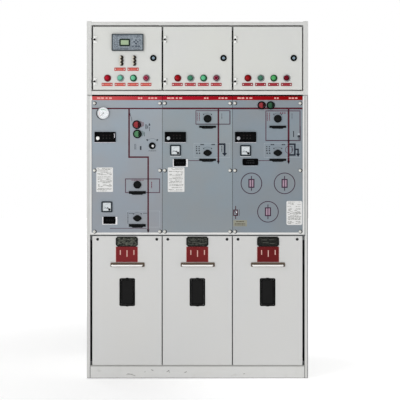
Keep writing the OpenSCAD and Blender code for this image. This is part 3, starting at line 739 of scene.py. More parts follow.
# Painted light: the left bay's film lighter than the others.
painted_light_film_tones = ((chip(148, 157, 166), chip(139, 144, 152)), (chip(139, 149, 156), chip(131, 140, 147)),
              (chip(131, 140, 148), chip(125, 134, 142)))
for bay, x in enumerate(BAY_X):
    film = printed_film(f"film_{bay + 1}", *painted_light_film_tones[bay], PLATE_FOOT, PLATE_TOP)
    plate = bmesh.new()
    prism(plate, rounded(plate_w, plate_h, 1.5), (x, plate_high.y, plate_mid), 0.0,
          plate_high.y - FACE, edge=0.3)
    finished(plate, f"printed_plate_{bay + 1}", film, instead_of=["mimic_plates"])


# ---- Red strips ------------------------------------------------------------------------------
# Self-adhesive red strips along the top of the plates. Where each bay's wording would stand they
# carry plain pale bars.

def vinyl(name, left, right, x_left, x_right):
    """Glossy vinyl film with a painted glare: a little paler towards one end."""
    material, place = start_finish(name)
    # Painted glare: the strip grows paler towards its left end.
    along = place.axis("X").rise(x_left * MM, x_right * MM)
    cloud = place.cloud(30.0, 3.0)
    return close_finish(material, Base_Color=(along + cloud * 0.2 - 0.1).between(left, right),
                        Roughness=0.3 + cloud * 0.1, Normal=place.cloud(260.0).relief(0.00005),
                        Specular_IOR_Level=0.05)


strip_low, strip_high = corners("red_strips")
strip_z = (strip_low.z + strip_high.z) / 2
STRIP_BAR_H = 7.0
# Painted glare: the left bay's strip is the palest and pinkest.
strip_glare_tones = ((chip(194, 84, 84), chip(174, 38, 52)), (chip(168, 22, 42), chip(150, 12, 24)),
               (chip(150, 12, 24), chip(138, 6, 8)))
strip_bars = bmesh.new()
for bay, x in enumerate(BAY_X):
    strip = bmesh.new()
    prism(strip, rounded(plate_w, strip_high.z - strip_low.z, 0.8), (x, strip_high.y, strip_z), 0.0,
          strip_high.y - strip_low.y, edge=0.2)
    strip_film = vinyl(f"red_vinyl_{bay + 1}", *strip_glare_tones[bay], x - plate_w / 2, x + plate_w / 2)
    finished(strip, f"red_strip_{bay + 1}", strip_film, instead_of=["red_strips"])
    middle_bars = (50, 59, 62, 70) if bay == 0 else (31, 39, 43, 51)
    for start, end in ((-140, -124), (-121, -108), (-100, -91), (-84, -71), middle_bars[:2],
                       middle_bars[2:], (98, 107), (111, 122), (127, 138)):
        across(strip_bars, x + start, x + end, strip_z, STRIP_BAR_H, strip_low.y, 0.15)
pale_ink = moulding("pale_ink", chip(228, 160, 154), 0.45, 0.00001)
finished(strip_bars, "red_strip_bars", pale_ink)


# ---- Mimic diagram ---------------------------------------------------------------------------
# Screen-printed lines that show the bay's circuit: a maroon busbar and feeders, mauve frames
# round each switch position, slate earthing symbols and fuse symbols. All are ink on the film.

def ink(name, colour, rough=0.4):
    """Screen ink: even colour with a slightly ragged, dusty tone."""
    material, place = start_finish(name)
    cloud = place.cloud(55.0, 4.0)
    return close_finish(material, Base_Color=cloud.between(shade(colour, 0.85), shade(colour, 1.25, 0.01)),
                        Roughness=rough + cloud * 0.1, Normal=place.cloud(900.0).relief(0.00002),
                        Specular_IOR_Level=0.15)


def printed(bm, name, colour, body="root"):
    """A piece in a screen ink of its own."""
    return finished(bm, name, ink(name, colour), body)


def line(bm, bay, points, width, high=0.3):
    """A printed line through points (right of the bay's middle, below the plate's top)."""
    ribbon(bm, [(BAY_X[bay] + u, PLATE_TOP - drop) for u, drop in points], width, FACE, high)


def frame_line(bm, bay, left, right, top, foot, width):
    outline = [(left, top), (right, top), (right, foot), (left, foot)]
    ribbon(bm, [(BAY_X[bay] + u, PLATE_TOP - drop) for u, drop in outline], width, FACE, 0.3, True)


def circle(radius, middle=(0.0, 0.0), steps=48, start=0.0, sweep=math.tau):
    """Points round a circle, or along a part of it."""
    whole = abs(sweep - math.tau) < 1e-6
    last = steps if whole else steps + 1
    return [(middle[0] + radius * math.cos(start + sweep * i / steps),
             middle[1] + radius * math.sin(start + sweep * i / steps)) for i in range(last)]


def patch(bm, bay, u, drop, outline, high=0.3):
    """A filled printed shape at a place on a bay's plate."""
    prism(bm, outline, (BAY_X[bay] + u, FACE, PLATE_TOP - drop), 0.0, high)


BUSBAR = 39.3
FEEDER_U = 97.0
maroon_lines, mauve_lines, slate_lines, dark_marks, fuse_lines, fuse_fills = blanks(6)
half_plate = plate_w / 2
for bay, width in enumerate((6.2, 7.8, 8.2)):
    drop = BUSBAR - width / 12
    line(maroon_lines, bay, [(-half_plate, drop), (half_plate, drop)], width, 0.25)
line(maroon_lines, 0, [(8.6, BUSBAR + 2), (8.6, 264), (FEEDER_U, 264), (FEEDER_U, 610)], 7.1)
patch(dark_marks, 0, 12, 66, [(-2.5, 9), (3.5, 2), (1.5, -9)])
line(dark_marks, 0, [(15, 70), (20, 84), (22, 100)], 1.6)
for bay in (1, 2):
    line(maroon_lines, bay, [(FEEDER_U, BUSBAR + 2), (FEEDER_U, 290)], 6.2 + bay)
frame_line(mauve_lines, 0, -8, 150, 365, 428, 4.0)
frame_line(mauve_lines, 1, -7, 150, 49, 111, 3.4)
frame_line(mauve_lines, 2, -8, 150, 50, 187, 4.2)
line(mauve_lines, 0, [(-80, 593.5), (90, 593.5)], 2.6)
for bay in (1, 2):
    line(mauve_lines, bay, [(-42, 280), (8, 280)], 3.2)
    line(dark_marks, bay, [(152, 49 if bay == 1 else 120), (152, 111 if bay == 1 else 188)], 1.6)
line(dark_marks, 1, [(-7, 112.5), (150, 112.5)], 1.6)
line(dark_marks, 2, [(-8, 188.5), (150, 188.5)], 1.6)
line(slate_lines, 1, [(100, 204), (126, 204), (126, 245)], 8.2)
patch(slate_lines, 1, 126, 251, [(-12, 6), (12, 6), (0, -9)])
line(slate_lines, 2, [(100, 204), (126, 204), (126, 254), (100, 254)], 7.7)
line(slate_lines, 2, [(129, 228), (141, 228), (141, 250)], 6.8)
patch(slate_lines, 2, 141, 254, [(-10, 6), (10, 6), (0, -9)])
ribbon(mauve_lines, circle(17.0, (BAY_X[2] + 99, PLATE_TOP - 230), 40), 2.4, FACE, 0.2, True)
for bay, drop in ((0, 606), (1, 288), (2, 288)):
    patch(dark_marks, bay, FEEDER_U, drop, [(-6.5, 7), (6.5, 7), (0, -10)])
FUSES = ((-75.0, 385.5), (78.5, 385.5), (1.5, 517.0))
for u, drop in FUSES:
    x = BAY_X[2] + u
    z = PLATE_TOP - drop
    ribbon(fuse_lines, circle(47.8, (x, z), 64), 3.6, FACE, 0.3, True)
    fuse = [(x - 11.5, z - 18), (x + 11.5, z - 18), (x + 11.5, z + 18), (x - 11.5, z + 18)]
    ribbon(fuse_lines, fuse, 5.0, FACE, 0.35, True)
    ribbon(fuse_lines, [(x, z - 34), (x, z + 34)], 3.8, FACE, 0.3)
    patch(fuse_fills, 2, u, drop, rounded(21.0, 34.0, 0.5), 0.15)
printed(maroon_lines, "mimic_feeders", chip(74, 18, 34))
printed(mauve_lines, "mimic_frames", chip(84, 62, 76))
printed(slate_lines, "mimic_earthing", chip(24, 32, 44))
printed(dark_marks, "mimic_cable_ends", chip(50, 28, 46))
printed(fuse_lines, "mimic_fuses", chip(54, 28, 50))
printed(fuse_fills, "mimic_fuse_bodies", chip(160, 136, 152))


# ---- Seals between the panels and the posts --------------------------------------------------
# Extruded rubber strips, pressed into the gaps: black in the seams between two plates; in the groove
# beside each post, pale strips that are painted light and grey strips that are painted shade; and a
# near-black brown strip under the control box that is painted shade in the gap there.

seam_fillers, groove_lit_fills, groove_shade_strips, under_box_shade = blanks(4)
for one, two in zip(BAY_X, BAY_X[1:]):
    ribbon(seam_fillers, [((one + two) / 2, PLATE_FOOT), ((one + two) / 2, strip_high.z)], 1.6, FACE, 0.1)
finished(seam_fillers, "plate_seam_fillers", rubber)
panel_edge = corners("front_panel_3")[1].x
seal_foot = corners("cable_cover_1")[1].z
# Painted light and shade: pale strips make the groove beside each post read lit, grey strips are its shade.
for seal, x, width in ((groove_lit_fills, -panel_edge - 3.0, 5.8), (groove_lit_fills, panel_edge + 4.4, 3.0),
                       (groove_shade_strips, panel_edge + 1.4, 3.0)):
    ribbon(seal, [(x, seal_foot), (x, strip_high.z)], width, FRONT + 2.0, 1.6)
plate_edge = BAY_X[0] - half_plate - 1.2
ribbon(groove_shade_strips, [(plate_edge, PLATE_FOOT), (plate_edge, PLATE_TOP)], 2.4, FRONT, 0.5)
moulded(groove_lit_fills, "post_groove_painted_light", "cabinet_paint", chip(206, 207, 205), 0.6, gloss=0.3)
moulded(groove_shade_strips, "plate_edge_painted_shade", "black_plastic", chip(96, 100, 104), 0.6, gloss=0.15)
# Painted shade: a dark strip in the gap under the control box.
slab(under_box_shade, (-half_plate - BAY_X[2] - 1.0, FRONT - 0.6, strip_high.z + 0.2),
     (half_plate + BAY_X[2] + 1.0, FRONT + 3.0, corners("box_sill")[0].z + 0.9), 0.3)
moulded(under_box_shade, "roof_gap_painted_shade", "black_plastic", chip(26, 16, 16), 0.8, 0.0002, gloss=0.03)


# ---- Domed panel screws ----------------------------------------------------------------------
# Nickel-plated domed screws with a slot hold the printed plates down both edges. Each sits off the
# middle of a wider dark washer, whose crescent on its right is painted shade.

SHADE_WASHER_R = 8.8
DOME_R = 6.7
DOME_H = 4.675
DOME_OFFSET_FOR_SHADE = 2.2
DOME_DROPS = (15.0, 326.0, 609.0)
dome_x = corners("panel_screws")[1].x - BAY_X[2] - 8.5
dome_places = [(x + shift, FACE, PLATE_TOP - drop) for x in BAY_X for shift in (2.2 - dome_x, 0.6 + dome_x)
               for drop in DOME_DROPS]
DOME_ARC = [(DOME_R * math.sin(a), DOME_H * (0.15 + 0.85 * math.cos(a)))
            for a in (math.pi / 2 * i / 8 for i in range(9))]
SHADE_WASHER = [(0.0, 0.8), (SHADE_WASHER_R - 0.6, 0.8), (SHADE_WASHER_R, 0.4), (SHADE_WASHER_R, 0.0), (0.0, 0.0)]
domes, recesses, shade_washers = blanks(3)
# Painted shade: each dome sits left of its dark washer, so the washer shows as a crescent on the right.
for number, place in enumerate(dome_places):
    at = (place[0] - DOME_OFFSET_FOR_SHADE, place[1], place[2] + 0.5)
    turned(domes, at, DOME_ARC + [(DOME_R, 0.0), (0.0, 0.0)], 32)
    turned(shade_washers, place, SHADE_WASHER, 32)
    slot_at(recesses, at, 2.2, 0.4, DOME_H * 0.8, DOME_H * 1.3, 0.5 * number)
nickel = bright_metal("nickel_domes", chip(226, 226, 221), chip(194, 194, 188), 0.3, metallic=0.3)
finished(bored(domes, recesses), "panel_domes", nickel, instead_of=["panel_screws"])
finished(shade_washers, "panel_shade_washers", blacked)


# ---- Pressure gauge --------------------------------------------------------------------------
# A dial gauge for the gas: polished bezel, white dial with two coloured sectors and ticks, a grey
# pointer on a hub, and a thin glass. A dark ring set off to the left behind it is painted shade.

def front_view(node):
    """A CAD node as seen from the front: its middle across and up, its width and its height."""
    low, high = corners(node)
    return (low.x + high.x) / 2, (low.z + high.z) / 2, high.x - low.x, high.z - low.z


def ray(middle, angle, *reaches):
    """The points that lie that far from the middle, in one direction."""
    return [(middle[0] + r * math.cos(angle), middle[1] + r * math.sin(angle)) for r in reaches]


gauge_low, gauge_high = corners("pressure_gauge")
gauge_out = gauge_high.y - gauge_low.y
gauge_x, gauge_z, gauge_w = front_view("pressure_gauge")[:3]
gauge_r = gauge_w / 2
gauge_mid = (gauge_x, gauge_z)
gauge_at = (gauge_x, FACE, gauge_z)
dial_r = gauge_r - 1.4
DIAL_OUT = 4.4
gauge_shade_ring, bezel, dial, ticks, good, bad, pointer, glass = blanks(8)
ring = [(0.0, 1.2), (gauge_r + 0.2, 1.2), (gauge_r + 0.8, 0.4), (gauge_r + 0.8, 0.0), (0.0, 0.0)]
# Painted shade: a dark ring set off to the left behind the bezel.
turned(gauge_shade_ring, (gauge_x - 3.8, FACE, gauge_z - 0.6), ring, 64)
turned(bezel, gauge_at, [(dial_r - 0.4, DIAL_OUT), (dial_r, gauge_out - 0.8), (dial_r + 0.6, gauge_out),
                         (gauge_r - 0.7, gauge_out - 0.2), (gauge_r, gauge_out - 1.2), (gauge_r, 0.0),
                         (dial_r - 0.4, 0.0), (dial_r - 0.4, DIAL_OUT)], 64)
turned(dial, gauge_at, [(0.0, DIAL_OUT), (dial_r - 0.3, DIAL_OUT), (dial_r - 0.3, 0.5), (0.0, 0.5)], 64)
dial_face = FACE - DIAL_OUT
for step in range(21):
    angle = math.radians(225 - 13.5 * step)
    inner = dial_r * (0.76 if step % 5 == 0 else 0.82)
    spoke = ray(gauge_mid, angle, inner, dial_r * 0.9)
    ribbon(ticks, spoke, 0.9 if step % 5 == 0 else 0.45, dial_face, 0.15)
for sector, start, width in ((good, 45, 2.2), (bad, 150, 1.4)):
    arc = circle(dial_r * 0.66, gauge_mid, 20, math.radians(start), math.radians(75))
    ribbon(sector, arc, width, dial_face, 0.12)
ribbon(pointer, ray(gauge_mid, math.radians(238), -5, dial_r * 0.5), 1.1, dial_face, 1.6, low=1.2)
hub = [(0.0, 2.4), (2.0, 2.3), (2.6, 1.8), (2.6, 0.0), (0.0, 0.0)]
turned(pointer, (gauge_x, dial_face, gauge_z), hub, 24)
turned(glass, gauge_at, [(0.0, gauge_out - 1.0), (dial_r, gauge_out - 1.1), (dial_r, gauge_out - 1.5),
                         (0.0, gauge_out - 1.5)], 64)
polished = bright_metal("polished_bezel", chip(200, 202, 204), chip(150, 152, 156), 0.25, metallic=0.6)
moulded(gauge_shade_ring, "gauge_painted_shade_ring", "black_plastic", chip(62, 66, 70), 0.5, gloss=0.15)
dial_white = moulding("dial_white", chip(236, 239, 241), 0.4, 0.00001, 0.01)
clear = moulding("gauge_glass", chip(240, 244, 246), 0.05, 0.000002, 0.01, Alpha=0.10)
finished(bezel, "gauge_bezel", polished, instead_of=["pressure_gauge"])
finished(dial, "gauge_dial", dial_white)
printed(ticks, "gauge_ticks", chip(120, 122, 124))
printed(good, "gauge_green_sector", chip(90, 168, 120))
printed(bad, "gauge_red_sector", chip(214, 128, 122))
printed(pointer, "gauge_pointer", chip(92, 94, 96))
finished(glass, "gauge_glass", clear)


# ---- Voltage indicators ----------------------------------------------------------------------
# Flush black plastic instruments, one a bay: a bevelled frame, a lens with three lamps and three
# test sockets, a white turning knob at the left, painted lit on bay 1 and grey in shade on the
# others, and a pale lower lip that is a painted highlight.

indicator_w, indicator_h, indicator_z = in_each_bay("voltage_indicators")
indicator_u = corners("voltage_indicators")[0].x - BAY_X[0] + indicator_w / 2
cases, lenses, lamps, lit_lips_and_bracket, test_sockets = blanks(5)
knobs = blanks(3)
for bay, x in enumerate(BAY_X):
    middle_x = x + indicator_u
    case_z = indicator_z - 1.2
    prism(cases, rounded(indicator_w, indicator_h + 1.6, 2.5), (middle_x, FACE, case_z), 0.0, 5.0, edge=0.8)
    bevel = rounded(indicator_w - 4, indicator_h - 2.4, 2.0, middle=(middle_x, case_z))
    ribbon(cases, bevel, 2.6, FACE, 6.0, True, 4.8)
    lens = rounded(indicator_w - 26, indicator_h - 14, 2.0)
    prism(lenses, lens, (middle_x + 7, FACE, indicator_z), 5.0, 5.5, edge=0.3)
    for i in range(3):
        turned(lamps, (middle_x - 8 + 15 * i, FACE - 5.5, indicator_z + 6),
               [(0.0, 1.2), (1.6, 1.0), (2.4, 0.4), (2.5, 0.0), (0.0, 0.0)], 20)
        turned(test_sockets, (middle_x - 8 + 15 * i, FACE - 5.5, indicator_z - 7),
               [(1.6, 0.1), (1.9, 0.5), (2.7, 0.5), (2.9, 0.0), (1.6, 0.0)], 20)
    across(test_sockets, middle_x + 12, middle_x + 40, indicator_z - 15.5, 1.0, FACE - 5.0, 0.3)
    # Painted highlight: a pale lip under each case.
    across(lit_lips_and_bracket, middle_x - indicator_w / 2 + 1, middle_x + indicator_w / 2 - 1,
           indicator_z - indicator_h / 2 - 2.8, 4.0, FACE, 1.2)
    turned(knobs[bay], (middle_x - 33.5 + (0.0, 1.6, 0.8)[bay], FACE, indicator_z - 7),
           [(0.0, 9.6), (4.5, 9.5), (7.0, 8.6), (8.2, 7.0), (8.5, 5.0), (8.5, 4.9), (0.0, 4.9)], 36)
bracket_x = BAY_X[0] + indicator_u + indicator_w / 2 - 7
bracket = [(bracket_x, indicator_z + 15), (bracket_x + 1.5, indicator_z + 9),
           (bracket_x + 1.5, indicator_z - 5)]
ribbon(lit_lips_and_bracket, bracket, 3.0, FACE - 5.0, 0.6)
gloss_black = moulding("gloss_black", chip(1, 1, 2), 0.35, 0.00001, 0.2, gloss=0.01)
lens_black = moulding("lens_black", chip(3, 3, 4), 0.2, 0.000005, 0.2, gloss=0.05)
finished(cases, "indicator_cases", gloss_black, instead_of=["voltage_indicators"])
finished(lenses, "indicator_lenses", lens_black)
moulded(lamps, "indicator_lamps", "lamp_lens", chip(36, 22, 22), 0.2, 0.00001, gloss=0.2)
moulded(test_sockets, "indicator_sockets", "black_plastic", chip(46, 46, 45), 0.4, gloss=0.2)
# Painted light and shade: one white knob, lit on bay 1 and shaded grey on bays 2 and 3.
for bay, tone in enumerate((chip(240, 240, 238), chip(176, 182, 186), chip(166, 168, 172))):
    moulded(knobs[bay], f"indicator_knob_{bay + 1}", "white_paint", tone, 0.3, 0.00002, 0.02)
moulded(lit_lips_and_bracket, "indicator_highlights_and_bracket", "white_paint", chip(206, 204, 210), 0.45, 0.00002, 0.04)


# ---- Panel meters ----------------------------------------------------------------------------
# Square moving-coil meters: a slate plastic frame, a white scale with an arc of ticks, a needle,
# a black cap over the pivot at the lower right, and a pale lip under the frame that is a painted highlight.

meter_low, meter_high = corners("panel_meters")
meter_out = meter_high.y - meter_low.y
METER_W = 50.0
meter_places = ((-94.0, 494.2), (-101.5, 232.4), (-102.0, 233.8))
scale_face = FACE - meter_out + 2.0
frames, scales, needles, meter_ticks, meter_rows, meter_painted_highlights = blanks(6)
for bay, (u, drop) in enumerate(meter_places):
    x = BAY_X[bay] + u
    z = PLATE_TOP - drop
    ribbon(frames, rounded(METER_W - 5.6, METER_W - 5.6, 2.0, middle=(x, z)), 6.4, FACE, meter_out, True)
    prism(scales, rounded(METER_W - 10, METER_W - 10, 1.0), (x, FACE, z), 0.2, meter_out - 2.0)
    half = METER_W / 2
    # Painted highlight: a pale lip under the frame.
    across(meter_painted_highlights, x - half + 1, x + half - 1, z - half - 2.5, 3.0 if bay else 0.8, FACE, 0.6)
    pivot = (x + 12.0, z - 12.5)
    for step in range(11):
        angle = math.radians(96 + 8.0 * step)
        inner = 24.5 if step % 5 == 0 else 26.0
        ribbon(meter_ticks, ray(pivot, angle, inner, 28.0), 0.6, scale_face, 0.12)
    ribbon(meter_ticks, circle(28.2, pivot, 16, math.radians(96), math.radians(80)), 0.7, scale_face, 0.12)
    ribbon(needles, ray(pivot, 2.45, 0, 12), 3.4, scale_face, 0.9, low=0.5)
    turned(needles, (pivot[0], scale_face, pivot[1]),
           [(0.0, 1.6), (4.6, 1.5), (5.4, 1.0), (5.4, 0.3), (0.0, 0.3)], 24)
    for start, end, drop in ((-13, -8, 6.0), (-6, 2, 6.5), (-10, -4, 2.0), (0, 7, 3.5)):
        across(meter_rows, x + start, x + end, z - drop, 2.4, scale_face, 0.12)
slate_plastic = moulding("slate_plastic", chip(34, 43, 50), 0.42, gloss=0.12)
moulded(meter_painted_highlights, "meter_painted_highlights", "white_paint", chip(196, 200, 204), 0.45, 0.00002, 0.04)
finished(frames, "meter_frames", slate_plastic, instead_of=["panel_meters"])
moulded(scales, "meter_scales", "white_paint", chip(207, 213, 216), 0.4, 0.00001, 0.02, gloss=0.2)
printed(meter_ticks, "meter_ticks", chip(150, 156, 160))
printed(meter_rows, "meter_rows", chip(70, 78, 86))
finished(needles, "meter_needles", rubber)


# ---- Ready indicators ------------------------------------------------------------------------
# Black plastic blocks on the plates of bays 1 and 2 in white frames that are open at the top. The
# fused bay has a wider black block with notched corners, no frame, and a pale grey lip under it that is a
# painted highlight.

ready_places = ((-81.0, 555.0), (-80.0, 288.0), (-80.0, 288.0))
READY_W = 73.0
READY_H = 38.0
READY_OUT = 3.0
blocks, surrounds, ribs, ready_painted_highlight = blanks(4)
for bay, (u, drop) in enumerate(ready_places):
    x = BAY_X[bay] + u
    z = PLATE_TOP - drop
    if bay < 2:
        prism(blocks, rounded(56, 34.2, 1.0), (x - 1.5, FACE, z - 1.3), 0.0, READY_OUT, edge=0.4)
        left = x - READY_W / 2 + 7
        right = x + READY_W / 2 - 5
        foot = z - READY_H / 2 + 2
        top = z + READY_H / 2 - 4.5
        ribbon(surrounds, [(left, top), (left, foot), (right, foot), (right, top)], 8.5, FACE, 1.6)
        ribbon(ribs, [(right - 3.6, z - 9), (right - 3.6, z + 8)], 1.0, FACE - 1.6, 0.2)
    else:
        notched = plate_outline((-READY_W / 2, -14.2), (READY_W / 2, 17), 4.0)
        prism(blocks, notched, (x, FACE, z), 0.0, READY_OUT, edge=0.8)
        across(ribs, x - 14, x + 16, z + 9, 1.4, FACE - READY_OUT, 0.2)
        # Painted highlight: a pale lip under the fused bay's block.
        across(ready_painted_highlight, x - 33, x + 34, z - 17.4, 3.0, FACE, 0.6)
    for rib_x in (x - 16, x - 8, x, x + 8, x + 16):
        ribbon(ribs, [(rib_x, z - 6), (rib_x, z + 2)], 0.9 if bay < 2 else 2.2, FACE - READY_OUT, 0.25)
finished(blocks, "ready_blocks", gloss_black, instead_of=["ready_indicators"])
moulded(surrounds, "ready_frames", "white_paint", chip(226, 226, 228), 0.4, 0.00002, 0.03)
moulded(ribs, "ready_marks", "black_plastic", chip(44, 46, 48), 0.5, gloss=0.2)
moulded(ready_painted_highlight, "ready_painted_highlight", "white_paint", chip(148, 152, 158), 0.45, gloss=0.2)


# ---- Operating sockets and padlock slides ----------------------------------------------------
# Black-lacquered collars where the operating lever goes in: round for the switch, and with an ear
# at each side for the earthing switch. Each has its shutter closed. A black slide below, with a
# thicker middle, moves the shutter and takes a padlock.

SWITCH_U = 47.0
SWITCH_DROPS = (392.0, 86.5, 86.5)
EARTHING_DROPS = (547.0, 244.5, 244.5)
SLIDE_DROPS = ((430.5, 583.0), (125.0, 278.0), (125.0, 278.0))
collars, shutters, ear_collars, slides = blanks(4)


def hollow(*profile):
    """A profile closed along its seat and bore, so that it turns into a ring."""
    return list(profile) + [(profile[-1][0], 0.0), (profile[0][0], 0.0), profile[0]]


def socket(collar, x, z, bore, key):
    """A socket's collar, its closed shutter and the six-sided key in the middle."""
    turned(collar, (x, FACE, z), hollow((bore, 4.9), (bore + 0.6, 6.6), (bore + 1.4, 7.0), (bore + 3.8, 6.9),
                                        (bore + 5.0, 6.0), (bore + 5.4, 4.6)), 56)
    turned(shutters, (x, FACE, z), [(0.0, 4.6), (bore - 0.8, 4.6), (bore, 4.2), (bore, 0.2), (0.0, 0.2)], 48)
    prism(shutters, circle(key, (0, 0), 6), (x, FACE, z), 4.4, 6.8, edge=0.4)


for bay in range(3):
    x = BAY_X[bay] + SWITCH_U
    z = PLATE_TOP - SWITCH_DROPS[bay]
    socket(collars, x, z, 12.6, 6.0)
    prism(shutters, rounded(2.0, 9.0, 0.8), (x + 8.6, FACE, z), 4.5, 5.6, edge=0.2)
    z = PLATE_TOP - EARTHING_DROPS[bay]
    socket(ear_collars, x, z, 9.6, 5.0)
    for side in (-1, 1):
        ear = [(0, 9.5), (side * 2, 9.0), (side * 7.4, 3.2), (side * 8.0, 0), (side * 7.4, -3.2),
               (side * 2, -9.0), (0, -9.5)]
        prism(ear_collars, ear if side < 0 else ear[::-1], (x + side * 12.0, FACE, z), 0.0, 3.0, edge=0.6)
        turned(ear_collars, (x + side * 16.5, FACE - 3.0, z),
               [(0.0, 0.9), (1.6, 0.7), (2.0, 0.0), (0.0, 0.0)], 16)
    for drop in SLIDE_DROPS[bay]:
        tall = 3.0 if bay == 0 else 0.0
        slide = [(-39, -3.4), (-37.5, -4.8), (-28, -4.8), (-22, -8.6), (22, -8.6), (28, -4.8), (37.5, -4.8),
                 (39, -3.4), (39, 4.0 + tall), (37.5, 5.4 + tall), (-37.5, 5.4 + tall), (-39, 4.0 + tall)]
        prism(slides, slide, (x, FACE, PLATE_TOP - drop + 1.0), 0.0, 3.0, edge=0.5)
        prism(slides, rounded(34, 4.0, 1.8), (x, FACE, PLATE_TOP - drop - 2.0), 3.0, 4.2, edge=0.5)
lacquer = moulding("black_lacquer", chip(7, 9, 10), 0.35, 0.00002, 0.2, gloss=0.06)
shutter_grey = moulding("shutter_grey", chip(18, 21, 20), 0.4, 0.00004, 0.25, gloss=0.06)
finished(collars, "switch_collars", lacquer, instead_of=["switch_sockets"])
finished(ear_collars, "earthing_collars", lacquer, instead_of=["earthing_sockets"])
finished(shutters, "socket_shutters", shutter_grey)
finished(slides, "slide_bars", lacquer, instead_of=["padlock_slides"])


# ---- Mechanical push-buttons -----------------------------------------------------------------
# Red and green plastic caps in black collars: two large ones on the breaker bay and two smaller
# ones on the fused bay. The caps are hollowed a little, and a darker patch over their right side is
# painted shade. Arcs that show the push are printed beside each.

button_places = ((0, 44.0, 114.0, 20.0, "red"), (0, 47.0, 157.0, 20.0, "green"),
                 (2, -28.0, 24.5, 19.0, "red"), (2, 14.0, 24.5, 19.0, "deep_green"))
CAP_COLOURS = ("red", "green", "deep_green")
button_collars = bmesh.new()
caps = dict(zip(CAP_COLOURS, blanks(3)))
cap_right_shades = dict(zip(CAP_COLOURS, blanks(3)))
push_arcs = dict(zip(CAP_COLOURS, blanks(3)))
for bay, u, drop, radius, colour in button_places:
    at = (BAY_X[bay] + u, FACE, PLATE_TOP - drop)
    cap_r = radius - (6.0 if bay == 0 else 6.6)
    turned(button_collars, at, hollow((cap_r + 0.8, 1.0), (cap_r + 1.0, 4.4), (cap_r + 2.0, 5.0),
                                      (radius - 1.2, 4.6), (radius, 3.2)), 56)
    dish = [(0.0, 5.9), (cap_r * 0.5, 6.1), (cap_r * 0.82, 6.8), (cap_r - 0.5, 7.0), (cap_r, 6.4),
            (cap_r, 0.5), (0.0, 0.5)]
    turned(caps[colour], at, dish, 48)
    # Painted shade: a darker patch over the right side of each cap.
    prism(cap_right_shades[colour], circle(cap_r - 0.2, (0, 0), 18, -1.2, 2.4), at, 5.8, 7.15, edge=0.2)
    for step, reach in ((5.5, 0.9), (10.5, 0.8), (15.5, 0.6)) if bay == 0 else ((4.0, 0.7),):
        arc = circle(radius - 3, (BAY_X[bay] + u + step, PLATE_TOP - drop + 2.0), 14, -reach, 2 * reach)
        ribbon(push_arcs[colour], arc, 2.0, FACE, 0.25)
# Each cap's own tone, and the darker tone of its painted shade.
cap_tones = {"red": (chip(142, 46, 50), chip(52, 2, 10)), "green": (chip(74, 124, 86), chip(8, 32, 16)),
             "deep_green": (chip(38, 84, 58), chip(12, 40, 24))}
for colour, tone in zip(CAP_COLOURS, (chip(106, 52, 62), chip(82, 104, 100), chip(84, 96, 98))):
    printed(push_arcs[colour], f"button_outer_rings_{colour}", tone)
finished(button_collars, "button_collars", lacquer, instead_of=["mechanical_buttons"])
for colour, (light, dark) in cap_tones.items():
    moulded(caps[colour], f"button_caps_{colour}", "lamp_lens", light, 0.36, 0.00002, gloss=0.2)
    finished(cap_right_shades[colour], f"button_cap_painted_shades_{colour}",
             moulding(f"cap_shade_tone_{colour}", dark, 0.4, 0.00002, gloss=0.1))


# ---- Key selector ----------------------------------------------------------------------------
# A black rosette with a plated key barrel, its flat tab turned down to the right, under a printed
# arc that ends in two dots.

selector_x, selector_z = front_view("key_selector")[:2]
rosette, barrel, key_slot = blanks(3)
turned(rosette, (selector_x, FACE, selector_z), [(0.0, 3.4), (8.6, 3.4), (9.4, 4.0), (14.4, 3.9), (16.0, 2.6),
                                                 (16.0, 0.0), (0.0, 0.0)], 56)
barrel_at = (selector_x + 2.0, FACE, selector_z - 1.0)
prism(barrel, [(6.8, 0.0), (1.4, 6.6), (-4.6, 3.0), (-5.6, -1.8), (0.4, -6.8), (4.4, -5.0)], barrel_at, 3.2,
      5.8, edge=0.5)
prism(key_slot, rounded(1.4, 7.0, 0.6), barrel_at, 4.8, 6.5, Matrix.Rotation(0.5, 4, "Y"))
key_silver = bright_metal("key_silver", chip(238, 238, 238), chip(206, 208, 210), 0.28, metallic=0.35)
finished(rosette, "selector_rosette", lacquer, instead_of=["key_selector"])
finished(bored(barrel, key_slot), "selector_barrel", key_silver)


# ---- Small marks and labels ------------------------------------------------------------------
# Generic dashes, dots and arrows stand where the printed wording of the real unit would be, and
# the white rating and instruction labels carry only rows of pale grey dashes.

def dashes(bm, bay, points, width, lengths, gap=1.6):
    """A run of short dashes between two points, like a row of wording seen from far off."""
    start, end = (Vector(p) for p in points)
    along = (end - start).normalized()
    reach = 0.0
    count = 0
    while reach < (end - start).length - 0.5:
        length = min(lengths[count % len(lengths)], (end - start).length - reach)
        one = start + along * reach
        two = start + along * (reach + length)
        line(bm, bay, [tuple(one), tuple(two)], width, 0.2)
        reach += length + gap
        count += 1


def swing_arrow(bm, bay, u, drop, radius, width=1.6):
    """A printed arc with an arrow head at both ends, over a socket or selector."""
    over = circle(radius, (BAY_X[bay] + u, PLATE_TOP - drop), 14, math.radians(52), math.radians(76))
    ribbon(bm, over, width * 0.5, FACE, 0.2)
    head = [(-3.8, 2.8), (0, -4.2), (3.8, 2.8)]
    for side in (-1, 1):
        patch(bm, bay, u + side * radius * 0.66, drop - radius * 0.75, head, 0.25)


